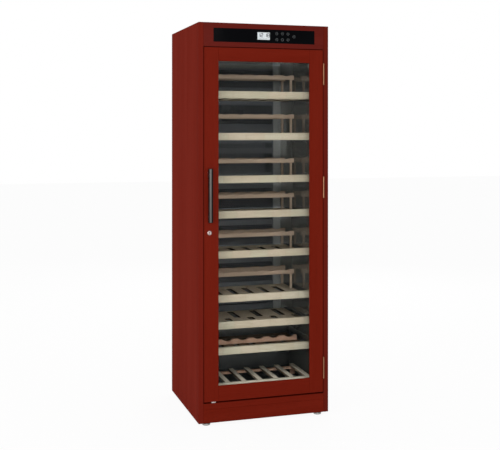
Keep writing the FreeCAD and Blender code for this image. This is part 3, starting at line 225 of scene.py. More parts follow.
def wood_finish(name, along, pale, deep, pore, rough=0.42, varnish=0.02, side_shade=None):
    """A wood with its grain along one axis, open pores, a thin varnish and perhaps painted shade on its
    upright sides.
    """
    finish, tree, shader, spot = new_finish(name)
    turned = add_node(tree, "Mapping", {"Vector": spot, "Rotation": ALONG[along]}).outputs[0]
    figured = {"Vector": turned, "Figure Scale": figure_scale, "Fibre Scale": fibre_scale}
    grain = place_group(tree, grain_group, figured)
    figure = calculate(tree, "MULTIPLY", grain["Figure"], figure_share)
    streaks = calculate(tree, "MULTIPLY_ADD", grain["Fibre"], 1 - figure_share, figure)
    body = blend_colours(tree, streaks, tint(*deep), tint(*pale))
    open_pores = calculate(tree, "MULTIPLY", grain["Pores"], pore_share)
    colour = blend_colours(tree, open_pores, body, tint(*pore))
    # Painted shade on the upright faces that the mesh marks
    if side_shade:
        side = add_node(tree, "Attribute", attribute_name="shaded_side").outputs["Fac"]
        colour = blend_colours(tree, side, colour, tint(*side_shade))
    relief = {"Height": grain["Height"], "Strength": 0.5, "Distance": 0.0001}
    looks = {
        "Base Color": colour,
        "Roughness": narrow(tree, grain["Fibre"], 0.0, 1.0, rough + 0.06, rough - 0.06),
        "Coat Weight": narrow(tree, grain["Figure"], 0.0, 1.0, varnish * 0.7, varnish * 1.3),
        "Coat Roughness": 0.25,
        "Specular IOR Level": 0.0,
        "Normal": add_node(tree, "Bump", relief).outputs[0],
    }
    feed(tree, shader, looks)
    return finish


def dress(finish, *nodes):
    """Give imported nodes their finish."""
    for name in nodes:
        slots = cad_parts[name].material_slots
        if not slots:
            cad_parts[name].data.materials.append(finish)
        slots[0].material = finish


stain_pore = (72, 18, 10)
panel_stain = ((123, 37, 25), (111, 30, 19), stain_pore)
rail_stain = ((112, 30, 17), (102, 25, 13), stain_pore)
side_veneer = wood_finish("side_veneer", "z", *panel_stain, varnish=0.018)
rail_veneer = wood_finish("rail_veneer", "x", *rail_stain)
side_tree, side_shader, side_spot = reopen(side_veneer)
side_place = add_node(side_tree, "SeparateXYZ", {"Vector": side_spot}).outputs
# Painted shade: the sides darken towards their front edges, and the right side all over
painted_front_shade = narrow(side_tree, side_place["Y"], -0.215, -0.2705, 0.0, 0.75)
painted_right_shade = narrow(side_tree, side_place["X"], 0.29, 0.30, 0.0, 0.8)
overlay(side_tree, side_shader, (painted_front_shade, (104, 29, 20)), (painted_right_shade, (94, 27, 18)))
dress(side_veneer, "side_panel_left", "side_panel_right")
dress(wood_finish("cross_veneer", "x", *panel_stain, varnish=0.018), "top_panel", "base_panel")
dress(wood_finish("fascia_veneer", "x", (99, 32, 26), (90, 27, 21), stain_pore), "fascia_board")
dress(rail_veneer, "plinth_board", "bottom_rail")

# Back: a thin powder-coated sheet over the liner, a slotted sheet over the machine bay, and the mains inlet
# Both sheets are screwed to the carcass with small pan-head screws round their edges
speckle_group, speckle_in, speckle_out = effect_group(
    "surface_speckle",
    {"Vector": "Vector", "Peel Scale": "Float", "Smudge Scale": "Float"},
    {"Peel": "Float", "Smudge": "Float"},
)
peel_noise = noise(speckle_group, speckle_in["Vector"], speckle_in["Peel Scale"], Detail=2.0)
smudge_noise = noise(
    speckle_group, speckle_in["Vector"], speckle_in["Smudge Scale"], Detail=4.0, Distortion=0.5
)
smudges = narrow(speckle_group, smudge_noise, 0.35, 0.65)
feed(speckle_group, speckle_out, {"Peel": peel_noise, "Smudge": smudges})
smudge_scale = 9


def smooth_finish(name, colour, worn, rough, peel=900, bump=0.00005, metal=0.0, level=0.3):
    """A painted, moulded or metal surface: two close tints in soft smudges, and a fine peel."""
    finish, tree, shader, spot = new_finish(name)
    peeled = {"Vector": spot, "Peel Scale": peel, "Smudge Scale": smudge_scale}
    speckle = place_group(tree, speckle_group, peeled)
    relief = {"Height": speckle["Peel"], "Strength": 0.4, "Distance": bump}
    looks = {
        "Base Color": blend_colours(tree, speckle["Smudge"], tint(*colour), tint(*worn)),
        "Roughness": narrow(tree, speckle["Smudge"], 0.0, 1.0, rough, rough + 0.06),
        "Metallic": metal,
        "Specular IOR Level": level,
        "Normal": add_node(tree, "Bump", relief).outputs[0],
    }
    feed(tree, shader, looks)
    return finish


def take_up(piece):
    """Select one piece alone and make it the active one."""
    bpy.ops.object.select_all(action="DESELECT")
    piece.select_set(True)
    bpy.context.view_layer.objects.active = piece


def own_place(piece):
    """Put a finished piece's place into its mesh, so that its object sits at the origin."""
    take_up(piece)
    bpy.ops.object.transform_apply(location=True, rotation=True, scale=True)


def name_piece(piece, name):
    """Name a piece and its mesh."""
    piece.name = name
    piece.data.name = name


def join_pieces(name, pieces):
    """Make one piece of several."""
    take_up(pieces[0])
    for piece in pieces:
        piece.select_set(True)
    if len(pieces) > 1:
        bpy.ops.object.join()
    name_piece(bpy.context.object, name)
    return bpy.context.object


def copy_piece(piece, name, shift):
    """A copy with a mesh of its own, moved by a shift."""
    twin = piece.copy()
    twin.data = piece.data.copy()
    scene.collection.objects.link(twin)
    name_piece(twin, name)
    twin.location = shift
    own_place(twin)
    return twin


def apply_modifier(piece, kind, **settings):
    """Add a modifier with its settings and apply it."""
    take_up(piece)
    modifier = piece.modifiers.new(kind.lower(), kind)
    for name, setting in settings.items():
        setattr(modifier, name, setting)
    bpy.ops.object.modifier_apply(modifier=modifier.name)


def shade_by_angle(piece):
    """Smooth the shading, but keep the edges that turn by more than 35 degrees."""
    take_up(piece)
    bpy.ops.object.shade_smooth_by_angle(angle=math.radians(35))


def edit_whole(piece):
    """Go into edit mode with the whole piece selected."""
    take_up(piece)
    bpy.ops.object.mode_set(mode="EDIT")
    bpy.ops.mesh.select_all(action="SELECT")


def leave_edit():
    """Go back to object mode."""
    bpy.ops.object.mode_set(mode="OBJECT")


def pick_vertices(piece, wanted):
    """Go into edit mode with only the vertices selected whose index and place pass a test."""
    edit_whole(piece)
    bpy.ops.mesh.select_mode(type="VERT")
    bpy.ops.mesh.select_all(action="DESELECT")
    leave_edit()
    for vertex in piece.data.vertices:
        vertex.select = wanted(vertex.index, vertex.co)
    bpy.ops.object.mode_set(mode="EDIT")


def extrude_edges(move):
    """Draw the selected edges out into new faces."""
    bpy.ops.mesh.extrude_edges_move(TRANSFORM_OT_translate={"value": move})


def resize(shares):
    """Resize what is selected about the origin."""
    bpy.ops.transform.resize(value=shares, center_override=(0, 0, 0))


def turn_outwards():
    """Turn all the faces of the piece in hand outwards, and leave edit mode."""
    bpy.ops.mesh.select_all(action="SELECT")
    bpy.ops.mesh.normals_make_consistent(inside=False)
    leave_edit()


def turned_part(name, profile, sides, centre, facing="up", ring=False):
    """A part turned from (radius, height) points: each ring is extruded from the last and resized."""
    bpy.ops.mesh.primitive_circle_add(vertices=sides, radius=profile[0][0], location=(0, 0, profile[0][1]))
    part = bpy.context.object
    name_piece(part, name)
    own_place(part)
    edit_whole(part)
    for (radius, height), (next_radius, next_height) in zip(profile, profile[1:]):
        share = next_radius / radius
        extrude_edges((0, 0, next_height - height))
        resize((share, share, 1))
    if not ring:
        bpy.ops.mesh.edge_face_add()
    leave_edit()
    last_ring = sides * (len(profile) - 1)
    pick_vertices(part, lambda index, place: index < sides or (ring and index >= last_ring))
    if ring:
        bpy.ops.mesh.bridge_edge_loops()
    else:
        bpy.ops.mesh.edge_face_add()
    turn_outwards()
    part.rotation_euler = (math.radians({"up": 0, "front": 90, "back": -90}[facing]), 0, 0)
    part.location = centre
    own_place(part)
    shade_by_angle(part)
    return part


def fit_piece(piece, finish, body, slot, *nodes):
    """Give a finished piece its material and its body, and hide the nodes that it stands for; its slot is
    not used.
    """
    piece.data.materials.clear()
    piece.data.materials.append(finish)
    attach(piece, body)
    if nodes:
        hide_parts(*nodes)


screw_steel = smooth_finish("screw_steel", (150, 150, 152), (128, 128, 130), 0.35, metal=1.0)
dress(smooth_finish("sheet_coat", (76, 77, 80), (73, 74, 77), 0.5, peel=1400), "back_panel", "rear_grille")
dress(smooth_finish("inlet_plastic", (34, 34, 36), (28, 28, 30), 0.45), "power_inlet")
screw_profile = [(0.0035, 0.0), (0.0031, 0.001), (0.0022, 0.0014), (0.0012, 0.0015), (0.001, 0.0009)]
screw_height = 0.0015
screw_margin = 0.012
first_screw = turned_part("back_screw", screw_profile, 16, (0, 0, 0), facing="back")
screws = []
for node, levels in (("back_panel", 6), ("rear_grille", 3)):
    low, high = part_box(node)
    for level in range(levels):
        height = low.z + screw_margin + level * (high.z - low.z - 2 * screw_margin) / (levels - 1)
        for x in (low.x + screw_margin, high.x - screw_margin):
            screws.append(copy_piece(first_screw, "back_screw", (x, high.y - screw_height, height)))
bpy.data.objects.remove(first_screw)
fit_piece(join_pieces("back_screws", screws), screw_steel, "cabinet", "plate_metal")

# Levelling feet: dull chromed pads with a rounded rim, each on a threaded stem through the base panel
# They stand on the floor and screw out to level the cabinet
foot_chrome = smooth_finish("foot_chrome", (168, 168, 166), (142, 142, 140), 0.16, metal=1.0)
foot_radius = 0.0195
pad_top = 0.0147
neck_radius = 0.0085
stem_radius = 0.005
stem_pitch = 0.0016
thread_depth = 0.0006
for corner in ("front_left", "front_right", "rear_left", "rear_right"):
    node = f"foot_{corner}"
    low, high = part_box(node)
    profile = [
        (foot_radius - 0.0022, 0.0),
        (foot_radius - 0.0008, 0.0008),
        (foot_radius, 0.0026),
        (foot_radius, 0.0072),
        (foot_radius - 0.001, 0.0092),
        (foot_radius - 0.0045, 0.0105),
        (neck_radius + 0.001, 0.0112),
        (neck_radius, 0.0122),
        (neck_radius, pad_top),
        (stem_radius, pad_top),
    ]
    for turn in range(int((high.z - pad_top) / stem_pitch)):
        start = pad_top + turn * stem_pitch
        profile.append((stem_radius, start + stem_pitch * 0.3))
        profile.append((stem_radius - thread_depth, start + stem_pitch * 0.8))
    profile.append((stem_radius - thread_depth, high.z))
    foot = turned_part(f"levelling_{node}", profile, 32, ((low.x + high.x) / 2, (low.y + high.y) / 2, 0))
    fit_piece(foot, foot_chrome, node, "foot_metal", node)

# Liner and air duct: one grey glossy moulding with foam inside, and a folded sheet cover on its back wall
# Painted shade darkens the well, the front of its walls and the channel behind the cover, and a painted
# highlight lightens the back wall beside the cover
# The cover is punched with bands of staggered holes
liner_skin = smooth_finish(
    "liner_skin", (128, 127, 121), (119, 118, 113), 0.01, peel=500, bump=0.0, level=0.5
)
liner_tree, liner_shader, liner_spot = reopen(liner_skin)
liner_place = add_node(liner_tree, "SeparateXYZ", {"Vector": liner_spot}).outputs
in_well = narrow(liner_tree, liner_place["Z"], 0.40, 0.33)
painted_door_shade = narrow(liner_tree, liner_place["Y"], 0.12, -0.04)
on_back = narrow(liner_tree, liner_place["Y"], 0.2560, 0.2568)
below_lid = narrow(liner_tree, liner_place["Z"], 1.7145, 1.7135)
off_middle = calculate(liner_tree, "ABSOLUTE", liner_place["X"])
past_cover = narrow(liner_tree, off_middle, 0.2215, 0.2225)
painted_light_beside_cover = calculate(liner_tree, "MULTIPLY", on_back, past_cover)
painted_shade_behind_cover = calculate(liner_tree, "SUBTRACT", on_back, painted_light_beside_cover)
painted_shade_behind_cover = calculate(liner_tree, "MULTIPLY", painted_shade_behind_cover, below_lid)
# Painted shade near the door, in the well and behind the cover, and painted light on the back wall beside
# the cover
overlay(
    liner_tree,
    liner_shader,
    (painted_door_shade, (74, 73, 69)),
    (in_well, (40, 42, 41)),
    (painted_light_beside_cover, (154, 155, 153)),
    (painted_shade_behind_cover, (10, 10, 11)),
)
well_dullness = 0.4
wall_gloss = liner_shader.inputs["Roughness"].links[0].from_socket
dull_well = calculate(liner_tree, "MULTIPLY_ADD", in_well, well_dullness, wall_gloss)
on_side = narrow(liner_tree, off_middle, 0.262, 0.264)
above_well = narrow(liner_tree, liner_place["Z"], 0.42, 0.46)
side_gloss = calculate(liner_tree, "MULTIPLY", on_side, above_well)
liner_gloss = {"Roughness": dull_well, "Coat Weight": side_gloss, "Coat Roughness": 0.02}
feed(liner_tree, liner_shader, liner_gloss)
duct_coat = smooth_finish("duct_coat", (94, 96, 100), (88, 90, 94), 0.42, peel=1400)
dress(liner_skin, "insulated_liner")
# The evaporator's metal is painted dark, as painted shade seen through the cover's holes
dress(smooth_finish("cold_plate", (84, 85, 87), (76, 77, 79), 0.5, metal=1.0), "evaporator")
dress(smooth_finish("fan_plastic", (30, 30, 32), (24, 24, 26), 0.45), "fan_housing", "fan_impeller")
dress(smooth_finish("opal_diffuser", (220, 226, 232), (212, 218, 224), 0.4), "light_strip")

hole_pitch = 0.0111
hole_radius = 0.0042
row_height = 0.0085
row_holes = 39
sheet_thickness = 0.0015
punched_half = row_holes * hole_pitch / 2
duct_low, duct_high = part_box("duct_panel")
hole_bands = (
    (0.455, 1),
    (0.577, 12),
    (0.777, 12),
    (0.906, 1),
    (0.972, 12),
    (1.159, 12),
    (1.290, 3),
    (1.416, 12),
    (1.542, 1),
    (1.612, 11),
)


def about(middle, half):
    """The span that reaches half its width to each side of a middle."""
    return middle - half, middle + half


def upright_sheet(name, y, across, up, columns=1, rows=1):
    """A flat upright sheet over a span across and a span up, divided into columns and rows."""
    bpy.ops.mesh.primitive_grid_add(
        x_subdivisions=columns,
        y_subdivisions=rows,
        size=1,
        location=(sum(across) / 2, y, sum(up) / 2),
        rotation=(math.radians(90), 0, 0),
    )
    sheet = bpy.context.object
    sheet.scale = (across[1] - across[0], up[1] - up[0], 1)
    name_piece(sheet, name)
    own_place(sheet)
    return sheet


bpy.ops.mesh.primitive_circle_add(vertices=8, radius=hole_radius, rotation=(math.radians(90), 0, 0))
punched_cell = bpy.context.object
own_place(punched_cell)
edit_whole(punched_cell)
extrude_edges((0, 0, 0))
resize((hole_pitch / 2 / hole_radius, 1, row_height / 2 / hole_radius))
leave_edit()
near_corner = hole_pitch / 2 * 0.6
past_corner = hole_pitch / 2 * 0.8
pick_vertices(punched_cell, lambda index, place: index >= 8 and near_corner < abs(place.x) < past_corner)
resize((math.sqrt(2), 1, math.sqrt(2)))
leave_edit()
full_row = copy_piece(punched_cell, "full_row", (hole_pitch / 2 - punched_half, duct_low.y, 0))
short_row = copy_piece(punched_cell, "short_row", (hole_pitch - punched_half, duct_low.y, 0))
bpy.data.objects.remove(punched_cell)
repeat = {
    "use_relative_offset": False,
    "use_constant_offset": True,
    "constant_offset_displace": (hole_pitch, 0, 0),
}
apply_modifier(full_row, "ARRAY", count=row_holes, **repeat)
apply_modifier(short_row, "ARRAY", count=row_holes - 1, **repeat)
edge_inset = punched_half - hole_pitch / 2
row_ends = [
    upright_sheet("row_end", duct_low.y, across, about(0, row_height / 2), rows=2)
    for across in ((-punched_half, -edge_inset), (edge_inset, punched_half))
]
short_row = join_pieces("short_row", [short_row, *row_ends])
cover_parts = []
plain_from = duct_low.z
for band_low, rows in (*hole_bands, (duct_high.z, 0)):
    up = (plain_from, band_low)
    cover_parts.append(upright_sheet("plain", duct_low.y, about(0, punched_half), up, 2 * row_holes))
    for row in range(rows):
        height = band_low + (row + 0.5) * row_height
        cover_parts.append(copy_piece((full_row, short_row)[row % 2], "punched_row", (0, 0, height)))
    plain_from = band_low + rows * row_height
bpy.data.objects.remove(full_row)
bpy.data.objects.remove(short_row)
duct_cover = join_pieces("duct_cover", cover_parts)
edit_whole(duct_cover)
bpy.ops.mesh.remove_doubles(threshold=0.00002)
leave_edit()
slight = 0.0001
for side in (-1, 1):
    pick_vertices(duct_cover, lambda index, place: place.x * side > punched_half - slight)
    extrude_edges((side * (duct_high.x - punched_half), 0, 0))
    leave_edit()
pick_vertices(
    duct_cover,
    lambda index, place: abs(place.x) > duct_high.x - slight
    or place.z < duct_low.z + slight
    or place.z > duct_high.z - slight,
)
extrude_edges((0, duct_high.y - duct_low.y, 0))
turn_outwards()
front_faces = [face for face in duct_cover.data.polygons if abs(face.normal.y) > 0.9]
if front_faces[0].normal.y > 0:
    edit_whole(duct_cover)
    bpy.ops.mesh.flip_normals()
    leave_edit()
apply_modifier(duct_cover, "SOLIDIFY", thickness=sheet_thickness, offset=-1)
fit_piece(duct_cover, duct_coat, "cabinet", "duct_sheet", "duct_panel")

# Machine bay: an enamelled compressor on a sprung plate and a black condenser plate on the base panel
# Both stand behind the slotted sheet at the bottom of the back
dress(smooth_finish("black_enamel_coat", (34, 34, 36), (28, 28, 30), 0.3), "compressor", "condenser")

# Control panel: a black glass strip set in the fascia, with a backlit display and seven touch keys
# The electronics box is fixed behind the fascia; digits and key symbols are printed from behind
digit_ink = smooth_finish("digit_ink", (58, 62, 68), (50, 54, 60), 0.4)
key_ink = smooth_finish("key_ink", (96, 98, 100), (88, 90, 92), 0.5)
dress(smooth_finish("black_glass", (6, 7, 9), (5, 5, 7), 0.05, bump=0.0, level=0.02), "control_glass")
dress(smooth_finish("display_light", (216, 223, 225), (208, 215, 219), 0.3), "display")
dress(smooth_finish("box_plastic", (34, 34, 36), (28, 28, 30), 0.5), "control_box")


def milled_block(name, across, along, up, edge, segments=2):
    """A block over three spans, left to right, front to back and bottom to top, with eased edges."""
    low, high = map(Vector, zip(across, along, up))
    bpy.ops.mesh.primitive_cube_add(size=1, location=(low + high) / 2, scale=high - low)
    block = bpy.context.object
    name_piece(block, name)
    own_place(block)
    edit_whole(block)
    bpy.ops.mesh.bevel(offset=edge, segments=segments, profile=0.5)
    leave_edit()
    shade_by_angle(block)
    return block


def stroke(start, end, width, along):
    """A straight printed stroke between two (x, z) points of the control panel."""
    run = Vector(end) - Vector(start)
    front, back = along
    edge = (back - front) / 5
    bar = milled_block("stroke", about(0, run.length / 2), along, about(0, width / 2), edge, 1)
    bar.rotation_euler = (0, -math.atan2(run.y, run.x), 0)
    bar.location = ((start[0] + end[0]) / 2, 0, (start[1] + end[1]) / 2)
    own_place(bar)
    return bar


display_low, display_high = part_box("display")
digit_height = 0.0165
digit_width = 0.0100
segment_width = 0.0025
digit_depth = (display_low.y - 0.0001, display_low.y)
segment_ends = {
    "top": ((-0.5, 0.5), (0.5, 0.5)),
    "middle": ((-0.5, 0.0), (0.5, 0.0)),
    "bottom": ((-0.5, -0.5), (0.5, -0.5)),
    "upper_left": ((-0.5, 0.5), (-0.5, 0.0)),
    "upper_right": ((0.5, 0.5), (0.5, 0.0)),
    "lower_left": ((-0.5, 0.0), (-0.5, -0.5)),
    "lower_right": ((0.5, 0.0), (0.5, -0.5)),
}
lit_segments = {
    "1": ("upper_right", "lower_right"),
    "2": ("top", "upper_right", "middle", "lower_left", "bottom"),
    "8": ("top", "middle", "bottom", "upper_left", "upper_right", "lower_left", "lower_right"),
}
display_middle = (display_low.x + display_high.x) / 2
digit_share = 0.62
mark_share = 0.16
digit_level = display_low.z + (display_high.z - display_low.z) * digit_share
mark_level = display_low.z + (display_high.z - display_low.z) * mark_share
digit_places = ((-0.0235, "1"), (-0.0092, "2"), (0.0092, "1"), (0.0235, "8"))
strokes = []
for shift, digit in digit_places:
    for segment in lit_segments[digit]:
        ends = [
            (display_middle + shift + across * digit_width, digit_level + up * digit_height)
            for across, up in segment_ends[segment]
        ]
        strokes.append(stroke(*ends, segment_width, digit_depth))
mark_pitch = 0.0075
mark_half = 0.0014
mark_width = 0.0018
for step in range(-3, 4):
    ends = [(x, mark_level) for x in about(display_middle + step * mark_pitch, mark_half)]
    strokes.append(stroke(*ends, mark_width, digit_depth))
fit_piece(join_pieces("display_digits", strokes), digit_ink, "cabinet", "display_white")

keys_low, keys_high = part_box("touch_keys")
ring_outer = 0.0065
ring_inner = 0.0055
symbol_width = 0.0008
key_spots = {
    "up": (0.060, 1.8465),
    "down": (0.060, 1.818),
    "plus": (0.0885, 1.8465),
    "minus": (0.0885, 1.818),
    "light": (0.117, 1.8465),
    "menu": (0.117, 1.818),
    "power": (0.147, 1.834),
}
symbols = {
    "up": [((-2.4, -1.2), (0, 1.4)), ((0, 1.4), (2.4, -1.2))],
    "down": [((-2.4, 1.2), (0, -1.4)), ((0, -1.4), (2.4, 1.2))],
    "plus": [((-2.4, 0), (2.4, 0)), ((0, -2.4), (0, 2.4))],
    "minus": [((-2.4, 0), (2.4, 0))],
    "light": [((-3.2, 0), (-2.2, 0)), ((2.2, 0), (3.2, 0)), ((0, 2.2), (0, 3.2)), ((0, -3.2), (0, -2.2))],
    "menu": [((-2.4, 1.6), (2.4, 1.6)), ((-2.4, 0), (2.4, 0)), ((-2.4, -1.6), (2.4, -1.6))],
    "power": [((0, 0.4), (0, 3.0))],
}
ring_depth = keys_high.y - keys_low.y
sign_radii = {"light": 0.0014, "power": 0.0023}
sign_line = 0.0005
key_prints = []
for name, (x, z) in key_spots.items():
    rings = [("key_ring", ring_outer, ring_inner, 32)]
    if name in sign_radii:
        rings.append(("key_sign", sign_radii[name], sign_radii[name] - sign_line, 20))
    for ring, outer, inner, sides in rings:
        profile = [(inner, 0.0), (outer, 0.0), (outer, ring_depth), (inner, ring_depth)]
        key_prints.append(turned_part(ring, profile, sides, (x, keys_high.y, z), facing="front", ring=True))
    for start, end in symbols[name]:
        ends = [(x + across / 1000, z + up / 1000) for across, up in (start, end)]
        key_prints.append(stroke(*ends, symbol_width, (keys_low.y, keys_high.y)))
fit_piece(join_pieces("key_rings", key_prints), key_ink, "cabinet", "key_print", "touch_keys")

# Shelf strips: pale staves about 90 mm long, finger-jointed end to end, sanded and left almost bare
# Each is screwed to the front of its deck, with its long edges rounded
stave_group, stave_in, stave_out = effect_group(
    "finger_joined_staves",
    {"Vector": "Vector", "Stave Length": "Float", "Finger Pitch": "Float", "Finger Depth": "Float"},
    {"Shade": "Float", "Blush": "Float", "Joint": "Float"},
)
stave_spot = add_node(stave_group, "SeparateXYZ", {"Vector": stave_in["Vector"]}).outputs
shelf_level = calculate(stave_group, "SUBTRACT", stave_spot["Z"], 0.011)
shelf_number = calculate(stave_group, "FLOOR", calculate(stave_group, "MULTIPLY", shelf_level, 10.0))
half_pitch = calculate(stave_group, "MULTIPLY", stave_in["Finger Pitch"], 0.5)
zigzag = calculate(stave_group, "PINGPONG", stave_spot["Z"], half_pitch)
zigzag = calculate(stave_group, "DIVIDE", zigzag, half_pitch)
zigzag = calculate(stave_group, "MULTIPLY", zigzag, stave_in["Finger Depth"])
along_strip = calculate(stave_group, "ADD", stave_spot["X"], zigzag)
along_strip = calculate(stave_group, "DIVIDE", along_strip, stave_in["Stave Length"])
along_strip = calculate(stave_group, "MULTIPLY_ADD", shelf_number, 0.37, along_strip)
stave_number = calculate(stave_group, "FLOOR", along_strip)
stave_seed = add_node(stave_group, "CombineXYZ", {"X": stave_number, "Y": shelf_number}).outputs[0]
stave_noise = add_node(stave_group, "TexWhiteNoise", {"Vector": stave_seed}, noise_dimensions="3D").outputs
stave_tints = add_node(stave_group, "SeparateColor", {"Color": stave_noise["Color"]}).outputs
past_joint = calculate(stave_group, "FRACT", along_strip)
to_joint = calculate(stave_group, "ABSOLUTE", calculate(stave_group, "SUBTRACT", past_joint, 0.5))
joint = narrow(stave_group, to_joint, 0.488, 0.497)
feed(stave_group, stave_out, {"Shade": stave_tints[0], "Blush": stave_tints[1], "Joint": joint})

strip_finish = wood_finish(
    "strip_finish", "x", (184, 178, 160), (156, 146, 126), (132, 112, 88), rough=0.5, varnish=0.03
)
strip_tree, strip_shader, strip_spot = reopen(strip_finish)
stave_sizes = {"Stave Length": 0.09, "Finger Pitch": 0.008, "Finger Depth": 0.005}
staves = place_group(strip_tree, stave_group, {"Vector": strip_spot, **stave_sizes})
for mask, share, shade in (
    ("Shade", 0.4, (158, 146, 124)),
    ("Blush", 0.3, (186, 156, 140)),
    ("Joint", 0.5, (122, 104, 84)),
):
    overlay(strip_tree, strip_shader, (calculate(strip_tree, "MULTIPLY", staves[mask], share), shade))

strip_round = 0.0022
shelf_tops = {}
for number in range(1, 9):
    low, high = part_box(f"shelf_{number}_front")
    shelf_tops[number] = high.z
    strip = milled_block(f"shelf_{number}_strip", *zip(low, high), strip_round, 3)
    fit_piece(strip, strip_finish, f"shelf_{number}", "strip_wood", f"shelf_{number}_front")

# Shelf decks: six slats let in between a front and a rear rail, of unfinished pale beech
# Decks 1 to 6 are alike, and deck 8 is shorter because of the step in the liner's floor, and painted darker
# and browner as painted shade
beech = ((204, 190, 170), (188, 172, 152), (140, 122, 102))
bare = {"rough": 0.6, "varnish": 0.0}
# The colour of painted shade on the beech's upright faces
beech_side_shade = (66, 56, 46)
slat_wood = wood_finish("slat_wood", "y", *beech, **bare, side_shade=beech_side_shade)
rail_wood = wood_finish("rail_wood", "x", *beech, **bare, side_shade=beech_side_shade)
bottle_pitch = 0.0815
bottle_steps = (-2.5, -1.5, -0.5, 0.5, 1.5, 2.5)
shelf_half = 0.261
slat_width = 0.053
front_rail = 0.020
rear_rail = 0.062
deck_thickness = 0.011
deck_drop = 0.024
deck_edge = 0.0012
deck_front = -0.197


def mark_shaded_sides(piece):
    """Mark each upright face, where the finish paints shade."""
    marks = piece.data.attributes.new("shaded_side", "FLOAT", "FACE")
    for face in piece.data.polygons:
        marks.data[face.index].value = float(abs(face.normal.z) < 0.5)


def slatted_deck(number, deck_back):
    """The slats and the two rails of one deck."""
    top = shelf_tops[number] - deck_drop
    up = (top - deck_thickness, top)
    front_edge = deck_front + front_rail
    back_edge = deck_back - rear_rail
    slats = []
    for step in bottle_steps:
        left, right = about(step * bottle_pitch, slat_width / 2)
        if step == bottle_steps[0]:
            left = -shelf_half
        if step == bottle_steps[-1]:
            right = shelf_half
        slats.append(milled_block("slat", (left, right), (front_edge, back_edge), up, deck_edge))
    rails = [
        milled_block("rail", about(0, shelf_half), along, up, deck_edge)
        for along in ((deck_front, front_edge), (back_edge, deck_back))
    ]
    slats = join_pieces(f"shelf_{number}_slats", slats)
    rails = join_pieces(f"shelf_{number}_rails", rails)
    mark_shaded_sides(slats)
    mark_shaded_sides(rails)
    return slats, rails


def fit_rack(piece, finish, number):
    """Fit a piece of the deck or rack of one shelf."""
    fit_piece(piece, finish, f"shelf_{number}", "rack_wood", f"shelf_{number}_deck")


long_back = 0.146
short_back = 0.113
first_slats, first_rails = slatted_deck(1, long_back)
for number in range(1, 7):
    slats = first_slats
    rails = first_rails
    if number > 1:
        drop = (0, 0, shelf_tops[number] - shelf_tops[1])
        slats = copy_piece(first_slats, f"shelf_{number}_slats", drop)
        rails = copy_piece(first_rails, f"shelf_{number}_rails", drop)
    fit_rack(slats, slat_wood, number)
    fit_rack(rails, rail_wood, number)
# Deck 8's darker, browner wood is painted shade
painted_shade_tones = ((104, 88, 72), (90, 74, 60), (66, 54, 44))
painted_shade_slats = wood_finish("painted_shade_slats", "y", *painted_shade_tones, **bare, side_shade=beech_side_shade)
painted_shade_rails = wood_finish("painted_shade_rails", "x", *painted_shade_tones, **bare, side_shade=beech_side_shade)
slats, rails = slatted_deck(8, short_back)
fit_rack(slats, painted_shade_slats, 8)
fit_rack(rails, painted_shade_rails, 8)

# Raised racks: two scalloped bars on four posts, which hold a second layer of bottles above a deck
# The hollows are cut with a drum of a bottle's radius and the edges are sanded
bottle_radius = 0.040
bar_half = 0.245
bar_size = 0.016
bar_height = 0.022
bar_dip = 0.004
bar_fronts = (-0.007, 0.126)
post_middle = 0.230
post_half = 0.0055
rack_edge = 0.0008
rosy = ((173, 152, 134), (155, 133, 116), (114, 92, 76))
bar_wood = wood_finish("bar_wood", "x", *rosy, **bare)
post_wood = wood_finish("post_wood", "z", *rosy, **bare)


def ease_edges(piece, width, segments, degrees):
    """Bevel the edges that turn by more than an angle."""
    limit = math.radians(degrees)
    apply_modifier(piece, "BEVEL", width=width, segments=segments, limit_method="ANGLE", angle_limit=limit)


def cut_away(piece, cutter):
    """Cut one piece out of another."""
    apply_modifier(piece, "BOOLEAN", object=cutter, operation="DIFFERENCE", solver="EXACT")
    bpy.data.objects.remove(cutter)


def scalloped_bar(name, half_length, front, bottom, height, dip):
    """A bar whose top is hollowed once for each of six bottles."""
    along = (front, front + bar_size)
    top = bottom + height
    bar = milled_block(name, about(0, half_length), along, (bottom, top), 0.0001, 1)
    drums = []
    for step in bottle_steps:
        bpy.ops.mesh.primitive_cylinder_add(
            vertices=96,
            radius=bottle_radius,
            depth=bar_size * 3,
            location=(step * bottle_pitch, sum(along) / 2, top - dip + bottle_radius),
            rotation=(math.radians(90), 0, 0),
        )
        drums.append(bpy.context.object)
    cut_away(bar, join_pieces("bottle_drums", drums))
    ease_edges(bar, rack_edge, 2, 30)
    shade_by_angle(bar)
    return bar


rack_levels = {}
for number in range(1, 7):
    rack_levels[number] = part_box(f"shelf_{number}_deck")[1].z - bar_height
first_bars = join_pieces(
    "shelf_1_bars",
    [scalloped_bar("bar", bar_half, front, rack_levels[1], bar_height, bar_dip) for front in bar_fronts],
)
for number in range(1, 7):
    bars = first_bars
    if number > 1:
        bars = copy_piece(first_bars, f"shelf_{number}_bars", (0, 0, rack_levels[number] - rack_levels[1]))
    fit_rack(bars, bar_wood, number)
    up = (shelf_tops[number] - deck_drop, rack_levels[number])
    posts = []
    for side in (-1, 1):
        for front in bar_fronts:
            across = about(side * post_middle, post_half)
            along = about(front + bar_size / 2, post_half)
            posts.append(milled_block("post", across, along, up, rack_edge))
    fit_rack(join_pieces(f"shelf_{number}_posts", posts), post_wood, number)

